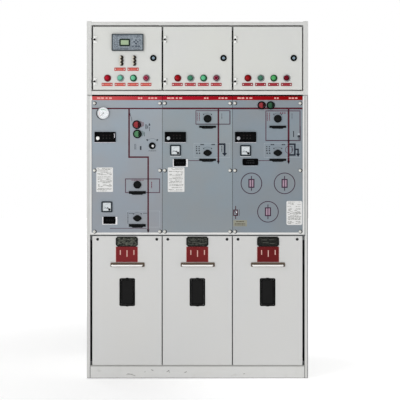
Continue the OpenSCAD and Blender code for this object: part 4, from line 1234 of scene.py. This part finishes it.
grey_marks, dark_dashes, pale_lines, plum_marks = blanks(4)
swing_arrow(dark_dashes, 0, 116, 211.5, 33)
for bay, drop, radius in ((0, 547.0, 27), (1, 86.5, 27), (1, 244.5, 27), (2, 86.5, 27), (2, 244.5, 27)):
    swing_arrow(dark_dashes, bay, SWITCH_U, drop, radius)
for u in (92, 140):
    patch(dark_dashes, 0, u, 184, circle(3.4, (0, 0), 16))
dashes(dark_dashes, 0, ((99, 235), (134, 235)), 2.6, (5, 3, 6))
dashes(dark_dashes, 0, ((87, 112), (87, 134)), 4.6, (7, 5), 0.8)
patch(dark_dashes, 0, 103, 114, [(-4.4, -2), (0, 8), (4.4, -2), (0, -6)])
dashes(dark_dashes, 0, ((95, 118), (95, 132)), 3.6, (6, 4), 0.8)
dashes(dark_dashes, 0, ((103, 126), (103, 144)), 2.8, (7, 5), 1.2)
dashes(dark_dashes, 0, ((80, 150), (80, 168)), 2.4, (6, 4), 1.2)
line(dark_dashes, 0, [(62.5, 213), (62.5, 231)], 7.0)
for u in (35, 40):
    dashes(grey_marks, 0, ((u, 203), (u, 229)), 2.6, (5, 4, 6), 1.0)
for u in (18, 83):
    dashes(dark_dashes, 0, ((u - 8, 524), (u + 8, 524)), 3.4, (5, 3, 4))
dashes(dark_dashes, 0, ((3, 520), (3, 572)), 3.2, (6, 3, 4), 2.4)
dashes(plum_marks, 0, ((113, 378), (113, 408)), 4.0, (9, 5))
dashes(plum_marks, 0, ((20, 371), (76, 371)), 3.0, (5, 3, 7))
for bay in (1, 2):
    for u in (-1, 9):
        dashes(plum_marks, bay, ((u, 58), (u, 96)), 3.4, (5, 3, 6, 4))
    dashes(grey_marks, bay, ((113, 62), (113, 88)), 3.4, (7, 4))
    for u in (22, 73):
        dashes(dark_dashes, bay, ((u - 8, 206), (u + 8, 206)), 4.8, (7, 8), 1.0)
    for u in (-4, 8):
        dashes(dark_dashes, bay, ((u, 213), (u, 240)), 5.2, (5, 4, 7), 4.0)
        patch(dark_dashes, bay, u + 2, 246, circle(3.6, (0, 0), 12))
    dashes(dark_dashes, bay, ((113, 212), (113, 240)), 3.6, (6, 4))
    frame_line(pale_lines, bay, -16, 150, 200, 266, 1.0)
for u in (-28, 14):
    dashes(grey_marks, 2, ((u - 12, 47), (u + 12, 47)), 1.0, (3, 5, 2))
for u in (60, 70, 80):
    patch(plum_marks, 2, u, 60, circle(3.4, (0, 0), 14))
line(dark_dashes, 2, [(120, 143), (120, 171)], 4.2)
line(pale_lines, 2, [(144, 154), (144, 162)], 9.0)
patch(dark_dashes, 2, 144, 168, circle(6.0, (0, 0), 20))
dashes(grey_marks, 2, ((144, 176), (144, 186)), 8.0, (3, 2))
frame_line(pale_lines, 0, 0, 150, 513, 588, 1.0)
printed(grey_marks, "print_grey_marks", chip(84, 92, 102))
printed(dark_dashes, "print_dark_marks", chip(40, 46, 54))
printed(plum_marks, "print_plum_marks", chip(104, 48, 68))
printed(pale_lines, "print_pale_lines", chip(164, 172, 180))

labels, label_dashes, khaki_plate, khaki_rows, trip_frame, trip_mark = blanks(6)
random.seed(7)
label_places = ((0, -143, -66, 312, 425), (1, -137, -60, 312, 425), (2, 87, 160, 467, 578))
for bay, left, right, top, foot in label_places:
    u = (left + right) / 2
    patch(labels, bay, u, (top + foot) / 2, rounded(right - left, foot - top, 3.0 if bay < 2 else 7.0), 0.25)
    row = top + 5.0
    while row < foot - 4:
        reach = left + random.uniform(4, 9)
        end = right - random.uniform(4, 12)
        solid = random.random()
        while reach < end:
            length = random.uniform(5, 16)
            if random.random() < 0.5 + 0.5 * solid:
                line(label_dashes, bay, [(reach, row), (min(end, reach + length), row)],
                     random.choice((1.4, 2.4)), 0.45)
            reach += length + 2.0
        row += random.choice((4.4, 4.4, 6.5, 9.0))
moulded(labels, "white_labels", "white_paint", chip(218, 218, 217), 0.55, 0.00002, 0.03)
printed(label_dashes, "white_label_rows", chip(122, 122, 118))

patch(khaki_plate, 2, -127, 570, rounded(63, 29, 1.5), 0.12)
dashes(khaki_rows, 2, ((-145, 562), (-110, 562)), 3.4, (7, 4, 9, 5), 1.2)
for drop in (572, 578):
    dashes(khaki_rows, 2, ((-152, drop), (-104, drop)), 2.4, (7, 4, 9, 5), 1.8)
moulded(khaki_plate, "khaki_label", "plate_grey", chip(140, 140, 126), 0.4, 0.00004, 0.2, gloss=0.2)
printed(khaki_rows, "khaki_label_rows", chip(56, 44, 30))

frame_line(trip_frame, 2, -157, -139, 509, 534, 4.2)
line(trip_frame, 2, [(-148, 490), (-148, 509)], 3.4)
line(trip_frame, 2, [(-148, 534), (-148, 550)], 3.4)
line(trip_frame, 2, [(-155, 512), (-141, 531)], 3.0)
line(trip_frame, 2, [(-141, 525), (-141, 531)], 4.0)
line(trip_frame, 2, [(-131, 506), (-131, 536)], 1.6)
patch(trip_mark, 2, -145, 519, [(-3, -5), (4, -3), (2, 6)])
printed(trip_frame, "fuse_trip_symbol", chip(62, 14, 32))
printed(trip_mark, "fuse_trip_mark", chip(222, 216, 220))


# ---- Control box shell -----------------------------------------------------------------------
# The low-voltage box on top: folded side posts, sill, head rail, roof and back in the cabinet's
# powder coat, a floor, and mullions dressed black: partly a foam seal behind the doors, partly painted
# shade in the gaps between them.

box_coat = powder_coat("box_coat", chip(203, 204, 204), chip(206, 206, 201), grime=0.4)
for sheet_node in ("box_left_side", "box_right_side", "box_roof", "box_back", "box_head_rail"):
    formed(sheet_node, box_coat, rolled=0.6)
formed("box_sill", powder_coat("sill_coat", chip(212, 211, 209), chip(214, 212, 207)),
       rolled=0.6)
inner_coat = powder_coat("inner_coat", chip(150, 152, 152), chip(156, 156, 150), grime=0.4)
dress(inner_coat, "box_floor")
# Partly a black foam seal, partly painted shade in the gaps between the doors.
dress(moulding("foam_seal_and_gap_shade", chip(30, 30, 30), 0.8, 0.0002, gloss=0.1), "box_mullions")
mounting_zinc = zinc("mounting_zinc", chip(196, 198, 196), chip(150, 154, 156), 0.36)
rail_zinc = bright_metal("rail_zinc", chip(204, 204, 198), chip(160, 162, 160), 0.32, (40.0, 1.0, 1.0))
dress(mounting_zinc, "mounting_plate")
dress(rail_zinc, "terminal_rails")


# ---- Control box doors -----------------------------------------------------------------------
# Three powder-coated steel pans, drilled for their lamps, buttons and cam lock. The left door is
# also cut out for the relay and drilled for the two trip links. Black strips along the hinge side and
# the top are painted shade in the gaps there.

door_coat = powder_coat("door_coat", chip(206, 207, 207), chip(209, 210, 203), grime=0.3, rough=0.38)
FIT = 0.15
PILOT_BARREL_R = 11.0
LOCK_BARREL_R = 9.0
LINK_BARREL_R = 7.0
LINK_INSET = 9.0
RELAY_FLANGE = 5.0
DOORS = []


def drilled(drill, x, z, radius):
    """A hole through the door for a barrel of that radius."""
    prism(drill, circle(radius + FIT), (x, FRONT, z), -5.0, 5.0)


for number in (1, 2, 3):
    body = f"box_door_{number}"
    door_low, door_high = corners(f"door_{number}")
    pilots_low, pilots_high = corners(f"door_pilots_{number}")
    cam_low, cam_high = corners(f"door_lock_{number}")
    bezel_r = (pilots_high.z - pilots_low.z) / 2
    pitch = (pilots_high.x - pilots_low.x - 2 * bezel_r) / 3
    ring_r = (cam_high.x - cam_low.x) / 2
    pilot_z = (pilots_low.z + pilots_high.z) / 2
    door = {"body": body, "low": door_low, "bezel_r": bezel_r, "ring_r": ring_r,
            "pilots": [(pilots_low.x + bezel_r + i * pitch, pilot_z) for i in range(4)],
            "lock": ((cam_low.x + cam_high.x) / 2, cam_high.z - ring_r),
            "cam_foot": cam_low.z, "cam_back": cam_high.y}
    DOORS.append(door)
    drill, door_gap_shades = blanks(2)
    for x, z in door["pilots"]:
        drilled(drill, x, z, PILOT_BARREL_R)
    drilled(drill, *door["lock"], LOCK_BARREL_R)
    if number == 1:
        relay_x, relay_z, relay_w, relay_h = front_view("relay")
        relay_z -= 1.3
        relay_h -= 2.6
        relay_back = corners("relay")[1].y
        links_low, links_high = corners("trip_links")
        link_xs = (links_low.x + LINK_INSET, links_high.x - LINK_INSET)
        link_z = (links_low.z + links_high.z) / 2 - 1.4
        prism(drill, rounded(relay_w - 2 * RELAY_FLANGE + 0.5, relay_h - 2 * RELAY_FLANGE + 0.5, 0.6),
              (relay_x, FRONT, relay_z), -5.0, 5.0)
        for x in link_xs:
            drilled(drill, x, link_z, LINK_BARREL_R)
    finished(bored(pan(door_low, door_high), drill), f"door_pan_{number}", door_coat, body,
             [f"door_{number}"])
    # Painted shade: black strips in the gaps at the hinge side and along the top.
    slab(door_gap_shades, (door_low.x - 0.3, FRONT - 0.1, door_low.z + 1.0),
         (door_low.x + 1.5, FRONT + 12.0, door_high.z - 1.0), 0.2)
    slab(door_gap_shades, (door_low.x + 1.0, FRONT - 0.1, door_high.z - 0.3),
         (door_high.x - 1.0, FRONT + 8.0, door_high.z + 0.2), 0.05)
    finished(door_gap_shades, f"door_gap_painted_shade_{number}", rubber, body)


# ---- Door hinges -----------------------------------------------------------------------------
# White die-cast lugs on the door with a knuckle round the pin, above and below a white eye that is
# fixed to the frame. A dark screw and its plate hold the pin in the eye, a black block round the arm
# in the gap is painted shade, and slanted grey strokes on the lugs are painted shade.

hinge_white = moulding("hinge_white", chip(240, 241, 238), 0.38, 0.00003, 0.03)
dress(moulding("hinge_arm_white", chip(222, 223, 220), 0.42, 0.00003, 0.05), "hinge_arms")
eye_screws, arm_gap_shades = blanks(2)
arms_front = corners("hinge_arms")[0].y
HINGE_H = 30.0
LUG_H = 9.5
PIN_R = 2.0
EYE_Z = 15.0
UPWARD = Matrix.Rotation(math.pi / 2, 4, "X")


def peg(radius, length):
    """The profile of a plain round peg, from its seat inwards."""
    return [(0.0, 0.0), (radius, 0.0), (radius, -length), (0.0, -length)]


for number, door in enumerate(DOORS, 1):
    body = door["body"]
    hinges_low, hinges_high = corners(f"door_hinges_{number}")
    pin_x = (hinges_low.x + hinges_high.x) / 2
    lug_w = hinges_high.x - hinges_low.x
    lug_d = FRONT - hinges_low.y
    lug_face = FRONT - lug_d * 0.55
    pin_y = FRONT - lug_d / 2
    eye_front = FRONT - lug_d
    stroke_w, stroke_in, stroke_out = (1.2, 6.4, 9.0) if number == 1 else (3.4, 8.2, 13.0)
    lugs, pins, hinge_shade_strokes = blanks(3)
    for foot in (hinges_low.z, hinges_high.z - HINGE_H):
        # Painted shade: a black block round the arm in the gap.
        slab(arm_gap_shades, (door["low"].x - 5.3, arms_front - 0.3, foot + 9.7),
             (door["low"].x + 1.2, arms_front + 2.0, foot + 20.3), 0.2)
        turned(eye_screws, (pin_x - 1.8, eye_front, foot + 14.6),
               [(0.0, 0.6), (4.4, 0.6), (4.9, 0.2), (4.9, -1.0), (0.0, -1.0)], 6)
        prism(eye_screws, rounded(9.0, 5.0, 1.0), (pin_x - 4.8, eye_front, foot + 14.2), -1.0, 0.3)
        # Painted shade: slanted grey strokes on the lugs, right of the pin.
        for side in (-1, 1):
            root = (pin_x + 1.8, foot + EYE_Z + side * stroke_in)
            tip = (pin_x + lug_w / 2 - 0.5, foot + EYE_Z + side * stroke_out)
            ribbon(hinge_shade_strokes, [root, tip], stroke_w, lug_face, 0.2)
        for low in (foot, foot + HINGE_H - LUG_H):
            slab(lugs, (pin_x - lug_w / 2, lug_face, low), (pin_x + lug_w / 2, FRONT, low + LUG_H), 1.2)
            turned(lugs, (pin_x, pin_y, low), [(0.0, -LUG_H), (3.4, -LUG_H), (4.0, 0.6 - LUG_H), (4.0, -0.6),
                                               (3.4, 0.0), (0.0, 0.0)], 28, UPWARD)
        turned(pins, (pin_x, pin_y, foot), peg(PIN_R, HINGE_H)[::-1], 20, UPWARD)
    finished(lugs, f"hinge_lugs_{number}", hinge_white, body, [f"door_hinges_{number}"])
    finished(pins, f"hinge_pins_{number}", blacked, body)
    shade_stroke_grey = ink(f"shade_stroke_grey_{number}", chip(84, 84, 80))
    finished(hinge_shade_strokes, f"hinge_painted_shade_strokes_{number}", shade_stroke_grey, body)
finished(eye_screws, "hinge_eye_screws", rubber)
finished(arm_gap_shades, "hinge_arm_painted_shades", rubber)


# ---- Lamps and push-buttons on the doors -----------------------------------------------------
# In each row: a red lamp, a green push-button, a bright green lamp and a dark red push-button.
# Lamps are domed lenses set up and to the left in a darker ring of their own colour, whose crescent
# at the lower right is painted shade. Buttons have a plated bezel with a grey outline round its foot
# that is painted shade, and the first two red ones a pink rim. Each cap has a painted highlight at its
# upper left and painted shade further from it. Each barrel has a nut and two terminals behind the door.

def lens_plastic(name, colour, highlight_spot=None, glow=0.0):
    """Coloured plastic with faint streaks inside it, with a painted highlight round a given point and painted
    shade further from it.
    """
    material, place = start_finish(name)
    cloud = place.cloud(160.0, 2.0)
    # Painted light: lit round the given point, in shade further from it.
    if highlight_spot:
        centre = [c * MM for c in highlight_spot]
        reach = place.node("VectorMath", {"operation": "DISTANCE"}, {0: place, 1: centre}, "Value")
        lit = cloud.between(colour, shade(colour, 1.5, 0.004))
        tone = reach.rise(0.005, 0.016).between(lit, shade(colour, 0.5))
    else:
        tone = cloud.between(shade(colour, 0.85), shade(colour, 1.15, 0.01))
    return close_finish(material, Base_Color=tone, Roughness=0.2 + cloud * 0.1,
                        Normal=place.cloud(1500.0).relief(0.00002), Specular_IOR_Level=0.12,
                        Emission_Color=tone, Emission_Strength=glow)


PILOT_TONES = (
    {"ring": (chip(104, 2, 20), chip(98, 0, 10), chip(94, 0, 6)),
     "cap": (chip(154, 4, 30), chip(140, 0, 12), chip(134, 0, 6))},
    {"cap": (chip(96, 166, 142), chip(56, 112, 88), chip(60, 104, 86))},
    {"ring": (chip(14, 64, 40), chip(12, 62, 36), chip(12, 56, 24)),
     "cap": (chip(90, 162, 128), chip(78, 158, 116), chip(66, 142, 84))},
    {"cap": (chip(122, 24, 50), chip(94, 2, 32), chip(94, 2, 20))},
)
bezel_metal = bright_metal("bezel_metal", chip(196, 198, 200), chip(132, 136, 138), 0.3, metallic=0.3)
barrel_black = moulding("barrel_black", chip(34, 34, 36), 0.45)
bezel_seal = moulding("bezel_seal", chip(84, 88, 88), 0.6, gloss=0.1)
pink_rim = moulding("cap_rim", chip(206, 130, 146), 0.35, 0.00002)
BARREL_DEEP = 45.0
LIT_LAMP = 2
RED_BUTTON = 3
for number, door in enumerate(DOORS):
    body = door["body"]
    rimmed = number < 2
    r = door["bezel_r"]
    bezels, barrels, terminals, bezel_seals, cap_rims = blanks(5)
    for i, (x, z) in enumerate(door["pilots"]):
        tones = PILOT_TONES[i]
        at = (x, FRONT, z)
        turned(barrels, at, [(0.0, 0.0), (PILOT_BARREL_R, 0.0), (PILOT_BARREL_R, -38.0), (10.2, -BARREL_DEEP),
                             (0.0, -BARREL_DEEP)], 36)
        turned(barrels, (x, FRONT + 2.0, z), [(PILOT_BARREL_R, 0.0), (14.0, 0.0), (14.0, -4.0),
                                              (PILOT_BARREL_R, -4.0), (PILOT_BARREL_R, 0.0)], 12)
        for side in (-1, 1):
            turned(terminals, (x + side * 5.0, FRONT + BARREL_DEEP, z), peg(2.4, 1.6), 16)
        cap = bmesh.new()
        if "ring" in tones:
            ring = bmesh.new()
            # Painted shade: the darker ring shows as a crescent at the lower right of the dome.
            turned(ring, at, hollow((9.4, 1.0), (9.8, 4.6), (13.4, 5.0), (r - 0.6, 4.2), (r + 0.3, 2.6)), 48)
            dome = [(11.4 * math.sin(a), 5.0 + 6.4 * math.cos(a))
                    for a in (math.pi / 2 * k / 10 for k in range(11))]
            turned(cap, (x - 1.4, FRONT, z + 0.8), dome + [(11.4, 0.5), (0.0, 0.5)], 48)
            shade_ring_finish = lens_plastic(f"lamp_shade_ring_{number + 1}_{i + 1}", tones["ring"][number])
            finished(ring, f"lamp_shade_ring_{number + 1}_{i + 1}", shade_ring_finish, body)
        else:
            turned(bezels, at, hollow((12.6, 1.0), (12.8, 4.4), (13.6, 5.2), (r - 0.8, 4.4), (r, 2.8)), 48)
            # Painted shade: a grey outline round the bezel's foot.
            turned(bezel_seals, at, [(r - 0.4, 1.0), (r + 0.8, 0.8), (r + 0.8, 0.0), (r - 0.4, 0.0)], 48)
            capped = (x - (1.7 if number == 0 else 2.5), FRONT, z)
            flat = [(0.0, 9.4), (10.2, 9.6), (11.9, 9.2), (12.5, 8.0), (12.6, 0.5), (0.0, 0.5)]
            turned(cap, capped, flat, 48)
            if i == RED_BUTTON and rimmed:
                turned(cap_rims, capped, [(7.6, 9.2), (7.7, 10.1), (8.5, 10.1), (8.6, 9.2)], 48)
        cap_finish = lens_plastic(f"pilot_cap_{number + 1}_{i + 1}", tones["cap"][number],
                                  (x - 4.0, FRONT - 10.0, z + 2.5), 0.15 if i == LIT_LAMP else 0.0)
        finished(cap, f"pilot_cap_{number + 1}_{i + 1}", cap_finish, body)
    finished(bezels, f"button_bezels_{number + 1}", bezel_metal, body,
             [f"door_pilots_{number + 1}"])
    finished(bezel_seals, f"bezel_seals_{number + 1}", bezel_seal, body)
    if rimmed:
        finished(cap_rims, f"cap_rims_{number + 1}", pink_rim, body)
    finished(barrels, f"pilot_barrels_{number + 1}", barrel_black, body)
    finished(terminals, f"pilot_terminals_{number + 1}", plated, body)


# ---- Engraved label plates -------------------------------------------------------------------
# Red laminate plates under each lamp, button and trip link, each held by two small plated screws.
# Where the engraving would stand there are three plain paler bars.

label_tones = (chip(182, 68, 64), chip(158, 42, 52), chip(138, 20, 36))
band_tones = (chip(214, 122, 106), chip(190, 90, 88), chip(158, 50, 58))
LABEL_OUT = 1.6
for number, door in enumerate(DOORS):
    body = door["body"]
    plates, bands, label_screws = blanks(3)
    places = [(x - 2.0, z - 29.2, 50.0, 14.4) for x, z in door["pilots"]]
    if number == 0:
        places += [(x, link_z - 39.6, 52.0, 15.0) for x in (link_xs[0] - 6.6, link_xs[1] - 4.7)]
    for x, z, w, h in places:
        prism(plates, rounded(w, h, 1.2), (x, FRONT, z), 0.0, LABEL_OUT, edge=0.4)
        for start, end in ((-12.5, -5.0), (-3.5, 4.0), (5.5, 12.0)):
            across(bands, x + start, x + end, z, 4.6, FRONT - LABEL_OUT, 0.12)
        for side in (-1, 1):
            turned(label_screws, (x + side * (w / 2 - 6.0), FRONT - LABEL_OUT, z),
                   [(0.0, 1.2), (1.7, 1.0), (2.7, 0.3), (2.8, 0.0), (0.0, 0.0)], 20)
    laminate = moulding(f"label_laminate_{number + 1}", label_tones[number], 0.4, 0.00002, gloss=0.15)
    band_ink = ink(f"label_band_{number + 1}", band_tones[number])
    finished(plates, f"label_plates_{number + 1}", laminate, body)
    finished(bands, f"label_bands_{number + 1}", band_ink, body)
    finished(label_screws, f"label_screws_{number + 1}", nickel, body)


# ---- Cam locks -------------------------------------------------------------------------------
# A black bezel ring round a plated insert with a square driver hole. Its barrel goes through the
# door, and a zinc-plated cam hangs down behind.

insert_metal = bright_metal("lock_insert", chip(176, 198, 212), chip(120, 144, 162), 0.3, metallic=0.5)
for number, door in enumerate(DOORS):
    body = door["body"]
    x, z = door["lock"]
    r = door["ring_r"]
    ring, insert, square, cam = blanks(4)
    turned(ring, (x, FRONT, z), hollow((6.4, 1.6), (6.8, 3.4), (8.0, 4.0), (r, 3.8), (r + 0.9, 3.0)), 48)
    turned(ring, (x, FRONT, z), peg(LOCK_BARREL_R, 22.0), 32)
    turned(insert, (x, FRONT, z), [(0.0, 3.2), (5.7, 3.2), (6.3, 2.6), (6.3, 0.2), (0.0, 0.2)], 40)
    prism(square, rounded(5.4, 5.4, 0.5), (x, FRONT, z), 1.2, 5.0, Matrix.Rotation(math.pi / 4, 4, "Y"))
    foot = door["cam_foot"] - z
    back = FRONT - door["cam_back"]
    tongue = [(8.0, 0.0), (8.0, 5.0), (5.0, 8.0), (-5.0, 8.0), (-8.0, 5.0), (-8.0, 0.0),
              (-8.0, foot + 3.0), (-5.0, foot), (5.0, foot), (8.0, foot + 3.0)]
    prism(cam, tongue, (x, FRONT, z), back, back + 3.0, edge=0.5)
    finished(ring, f"lock_ring_{number + 1}", lacquer, body, [f"door_lock_{number + 1}"])
    finished(bored(insert, square), f"lock_insert_{number + 1}", insert_metal, body)
    finished(cam, f"lock_cam_{number + 1}", plated, body)


# ---- Protection relay ------------------------------------------------------------------------
# A flush-mounted relay in the left door: a dark frame, a matt blue-grey keyboard foil with a
# column of small lamps and a pad of keys, a liquid crystal display, and its case behind the door.

relay_at = (relay_x, FRONT, relay_z)
RELAY_OUT = 10.0
FOIL_SEAT = 7.0
FOIL_OUT = 8.0
FOIL = FRONT - FOIL_OUT
relay_frame, relay_case, relay_foil, display_frame, display, segments = blanks(6)
foil_marks, lamp_dots, keys, terminal_rows = blanks(4)
ribbon(relay_frame, rounded(relay_w - 4.4, relay_h - 4.4, 2.0, middle=(relay_x, relay_z)), 4.4, FRONT,
       RELAY_OUT, True)
prism(relay_frame, rounded(relay_w - 10, relay_h - 10, 1.0), relay_at, -0.5, FOIL_SEAT)
slab(relay_case, (relay_x - relay_w / 2 + RELAY_FLANGE, FRONT, relay_z - relay_h / 2 + RELAY_FLANGE),
     (relay_x + relay_w / 2 - RELAY_FLANGE, relay_back, relay_z + relay_h / 2 - RELAY_FLANGE), 1.5)
prism(relay_foil, rounded(relay_w - 8, relay_h - 8, 1.5), relay_at, FOIL_SEAT, FOIL_OUT, edge=0.2)
ribbon(display_frame, rounded(43, 28, 2.5, middle=(relay_x - 13, relay_z - 1)), 6.4, FOIL, 1.6, True)
prism(display, rounded(39, 24, 1.0), (relay_x - 13, FOIL, relay_z - 1), 0.0, 0.6)
display_rows = (((-28, -19), (-16, -9), (-6, 1)), ((-28, -22), (-19, -5)), ((-28, -15), (-11, -1)),
                ((-28, -21), (-17, -10), (-7, 2)))
for row, blocks_on in enumerate(display_rows):
    for start, end in blocks_on:
        across(segments, relay_x + start, relay_x + end, relay_z + 6.5 - 5.2 * row, 1.5, FOIL - 0.6, 0.08)
for row in range(5):
    z = relay_z + 20 - 9.5 * row
    turned(lamp_dots, (relay_x - 60, FOIL, z), [(0.0, 0.8), (1.4, 0.6), (1.9, 0.0), (0.0, 0.0)], 16)
    across(foil_marks, relay_x - 55, relay_x - 45, z, 2.0, FOIL, 0.1)
for start, end, up, width in ((-60, 6, 30, 2.4), (42, 58, 29, 3.0), (-34, 6, -28, 1.6)):
    across(foil_marks, relay_x + start, relay_x + end, relay_z + up, width, FOIL, 0.1)
for right, up, w, h in ((31, 2, 9, 6), (47, 2, 9, 6), (39, 10, 9, 6), (39, -6, 9, 6), (25, -18, 9, 5),
                        (39, -18, 9, 5), (53, -18, 9, 5), (58, 10, 6, 6)):
    prism(keys, rounded(w, h, 1.4), (relay_x + right, FOIL, relay_z + up), 0.0, 0.9, edge=0.3)
for z in (-22, 0, 22):
    for k in range(12):
        slab(terminal_rows, (relay_x - 55 + 9.2 * k, relay_back - 0.6, relay_z + z - 6),
             (relay_x - 47.5 + 9.2 * k, relay_back - 0.05, relay_z + z + 6), 0.1, 1)


def keyboard_foil(name, dark, pale):
    """Matt polyester foil with a fine speckle."""
    material, place = start_finish(name)
    speckle = place.cloud(230.0, 4.0) * 0.65 + place.cloud(40.0, 3.0) * 0.35
    return close_finish(material, Base_Color=speckle.rise(0.35, 0.65).between(dark, pale),
                        Roughness=0.42 + speckle * 0.12, Normal=place.cloud(1000.0).relief(0.00003))


body = DOORS[0]["body"]
frame_grey = moulding("relay_frame_grey", chip(58, 66, 70), 0.42, gloss=0.2)
finished(relay_frame, "relay_frame", frame_grey, body, ["relay"])
moulded(relay_case, "relay_case", "relay_case", chip(96, 102, 106), 0.5, body=body)
finished(relay_foil, "relay_foil", keyboard_foil("relay_foil", chip(92, 102, 112), chip(146, 156, 164)),
         body)
moulded(display_frame, "relay_display_frame", "black_plastic", chip(20, 36, 28), 0.3, gloss=0.15, body=body)
moulded(display, "relay_display", "lamp_lens", chip(158, 178, 148), 0.18, 0.000005, 0.06, gloss=0.2,
        body=body)
printed(segments, "relay_display_rows", chip(150, 172, 132), body)
printed(foil_marks, "relay_foil_marks", chip(66, 74, 84), body)
moulded(lamp_dots, "relay_lamps", "lamp_lens", chip(48, 54, 66), 0.25, 0.00001, gloss=0.2, body=body)
moulded(keys, "relay_keys", "relay_case", chip(66, 76, 88), 0.4, gloss=0.2, body=body)
finished(terminal_rows, "relay_terminals", barrel_black, body)


# ---- Trip links ------------------------------------------------------------------------------
# Two brown-black moulded links, each with three round lobes on a bar and a slotted brass screw
# in each lobe, where a pale patch at the lobe's left is a painted highlight. A round barrel holds each of
# them through the left door.

LINK_OUT = 7.4
LOBE_PITCH = 15.0
LOBE = [(0.0, LINK_OUT), (5.6, LINK_OUT), (8.0, 6.6), (9.0, 5.0), (9.0, 0.0), (0.0, 0.0)]
LOBE_HIGHLIGHT = [(-10.6, -2.0), (-8.0, -7.0), (-1.4, -3.8), (-2.0, 4.8), (-8.0, 7.0)]
links, link_screws, link_slots, lobe_highlights = blanks(4)
for x in link_xs:
    for lobe in (-1, 0, 1):
        z = link_z + LOBE_PITCH * lobe
        turned(links, (x + 1.0, FRONT, z), LOBE, 36)
        place = (x, FRONT - LINK_OUT, z)
        turned(link_screws, place, [(0.0, 0.6), (3.2, 0.6), (3.6, 0.0), (0.0, -0.4)], 24)
        slot_at(link_slots, place, 3.8, 0.5, 0.2, 1.0, 0.6 * lobe + x * 0.01)
        # Painted highlight: a pale patch on the left of each lobe.
        prism(lobe_highlights, LOBE_HIGHLIGHT, place, -1.4, 0.7, edge=0.3)
    prism(links, rounded(8.0, 32.0, 2.0), (x, FRONT, link_z), 0.0, 5.6, edge=1.0)
    turned(links, (x, FRONT, link_z), peg(LINK_BARREL_R, 30.0), 28)
moulded(links, "trip_link_bodies", "black_plastic", chip(30, 25, 22), 0.4, gloss=0.12, body=body,
        instead_of=["trip_links"])
moulded(lobe_highlights, "trip_link_painted_highlights", "screw_metal", chip(200, 196, 184), 0.4, 0.00003, body=body)
link_brass = bright_metal("link_screw_metal", chip(120, 112, 96), chip(78, 70, 58), 0.35, metallic=0.5)
finished(bored(link_screws, link_slots), "trip_link_screws", link_brass, body)


# ---- Room ------------------------------------------------------------------------------------
# A pale floor that turns white further off, with a painted glow round the unit that is stronger on its
# right to lift the shadow there; a white sky that is dimmer on the right; and soft light from the front and
# left.

floor_mesh = bmesh.new()
bmesh.ops.create_circle(floor_mesh, cap_ends=True, radius=40.0, segments=96)
floor_data = bpy.data.meshes.new("floor")
floor_mesh.to_mesh(floor_data)
floor_mesh.free()
floor = bpy.data.objects.new("floor", floor_data)
floor.location.z = cad_bounds[0].z - 0.0005
bpy.context.scene.collection.objects.link(floor)
floor_finish, floor_place = start_finish("pale_floor")
distance = floor_place.node("VectorMath", {"operation": "LENGTH"}, {0: floor_place}, "Value")
far = distance.rise(0.6, 4.0)
# Painted light: the floor's glow near the unit is stronger on its right, lifting the shadow there.
glow_lifting_shadow = floor_place.axis("X").rise(-0.45, 0.55).between(chip(186, 186, 186), chip(250, 250, 250))
close_finish(floor_finish, Base_Color=far.between(chip(250, 250, 250), chip(255, 255, 255)), Roughness=0.9,
             Emission_Color=far.between(glow_lifting_shadow, chip(255, 255, 255)), Emission_Strength=0.6)
floor_data.materials.append(floor_finish)

world = bpy.data.worlds.new("white_room")
bpy.context.scene.world = world
world.use_nodes = True
sky = Wire(world.node_tree)
seen = sky.node("LightPath", {}, {}, "Is Camera Ray")
glow = 0.72 - sky.node("TexCoord", {}, {}, "Generated").axis("X").rise(-0.6, 0.6) * 0.44
world.node_tree.nodes["Background"].inputs["Color"].default_value = (1.0, 1.0, 1.0, 1.0)
plug_in(world.node_tree, seen * (1.0 - glow) + glow, world.node_tree.nodes["Background"].inputs["Strength"])


def soft_light(name, place, aim, size, power):
    data = bpy.data.lights.new(name, "AREA")
    data.shape = "RECTANGLE"
    data.size, data.size_y = size
    data.energy = power
    lamp = bpy.data.objects.new(name, data)
    lamp.location = place
    lamp.rotation_euler = (Vector(aim) - Vector(place)).to_track_quat("-Z", "Y").to_euler()
    bpy.context.scene.collection.objects.link(lamp)


middle = (cad_bounds[0] + cad_bounds[1]) / 2
soft_light("key_left", (-3.0, -4.2, 1.9), middle, (2.2, 2.6), 60.0)
soft_light("fill_right", (3.6, -4.6, 1.0), middle, (2.4, 2.4), 20.0)
soft_light("rear_left", (-3.4, 3.8, 3.0), middle, (2.4, 2.4), 30.0)

camera_data = bpy.data.cameras.new("camera")
camera = bpy.data.objects.new("camera", camera_data)
bpy.context.scene.collection.objects.link(camera)
DISTANCE = 4.6
FRAME_WIDTH = 1.852
camera.location = (0.012, FRONT * MM - DISTANCE, middle.z - 0.0015)
camera.rotation_euler = (math.pi / 2, 0.0, 0.0)
camera_data.sensor_width = 36.0
camera_data.lens = 36.0 * DISTANCE / FRAME_WIDTH
camera_data.clip_end = 200.0
bpy.context.scene.camera = camera
bpy.context.scene.view_settings.view_transform = "Standard"
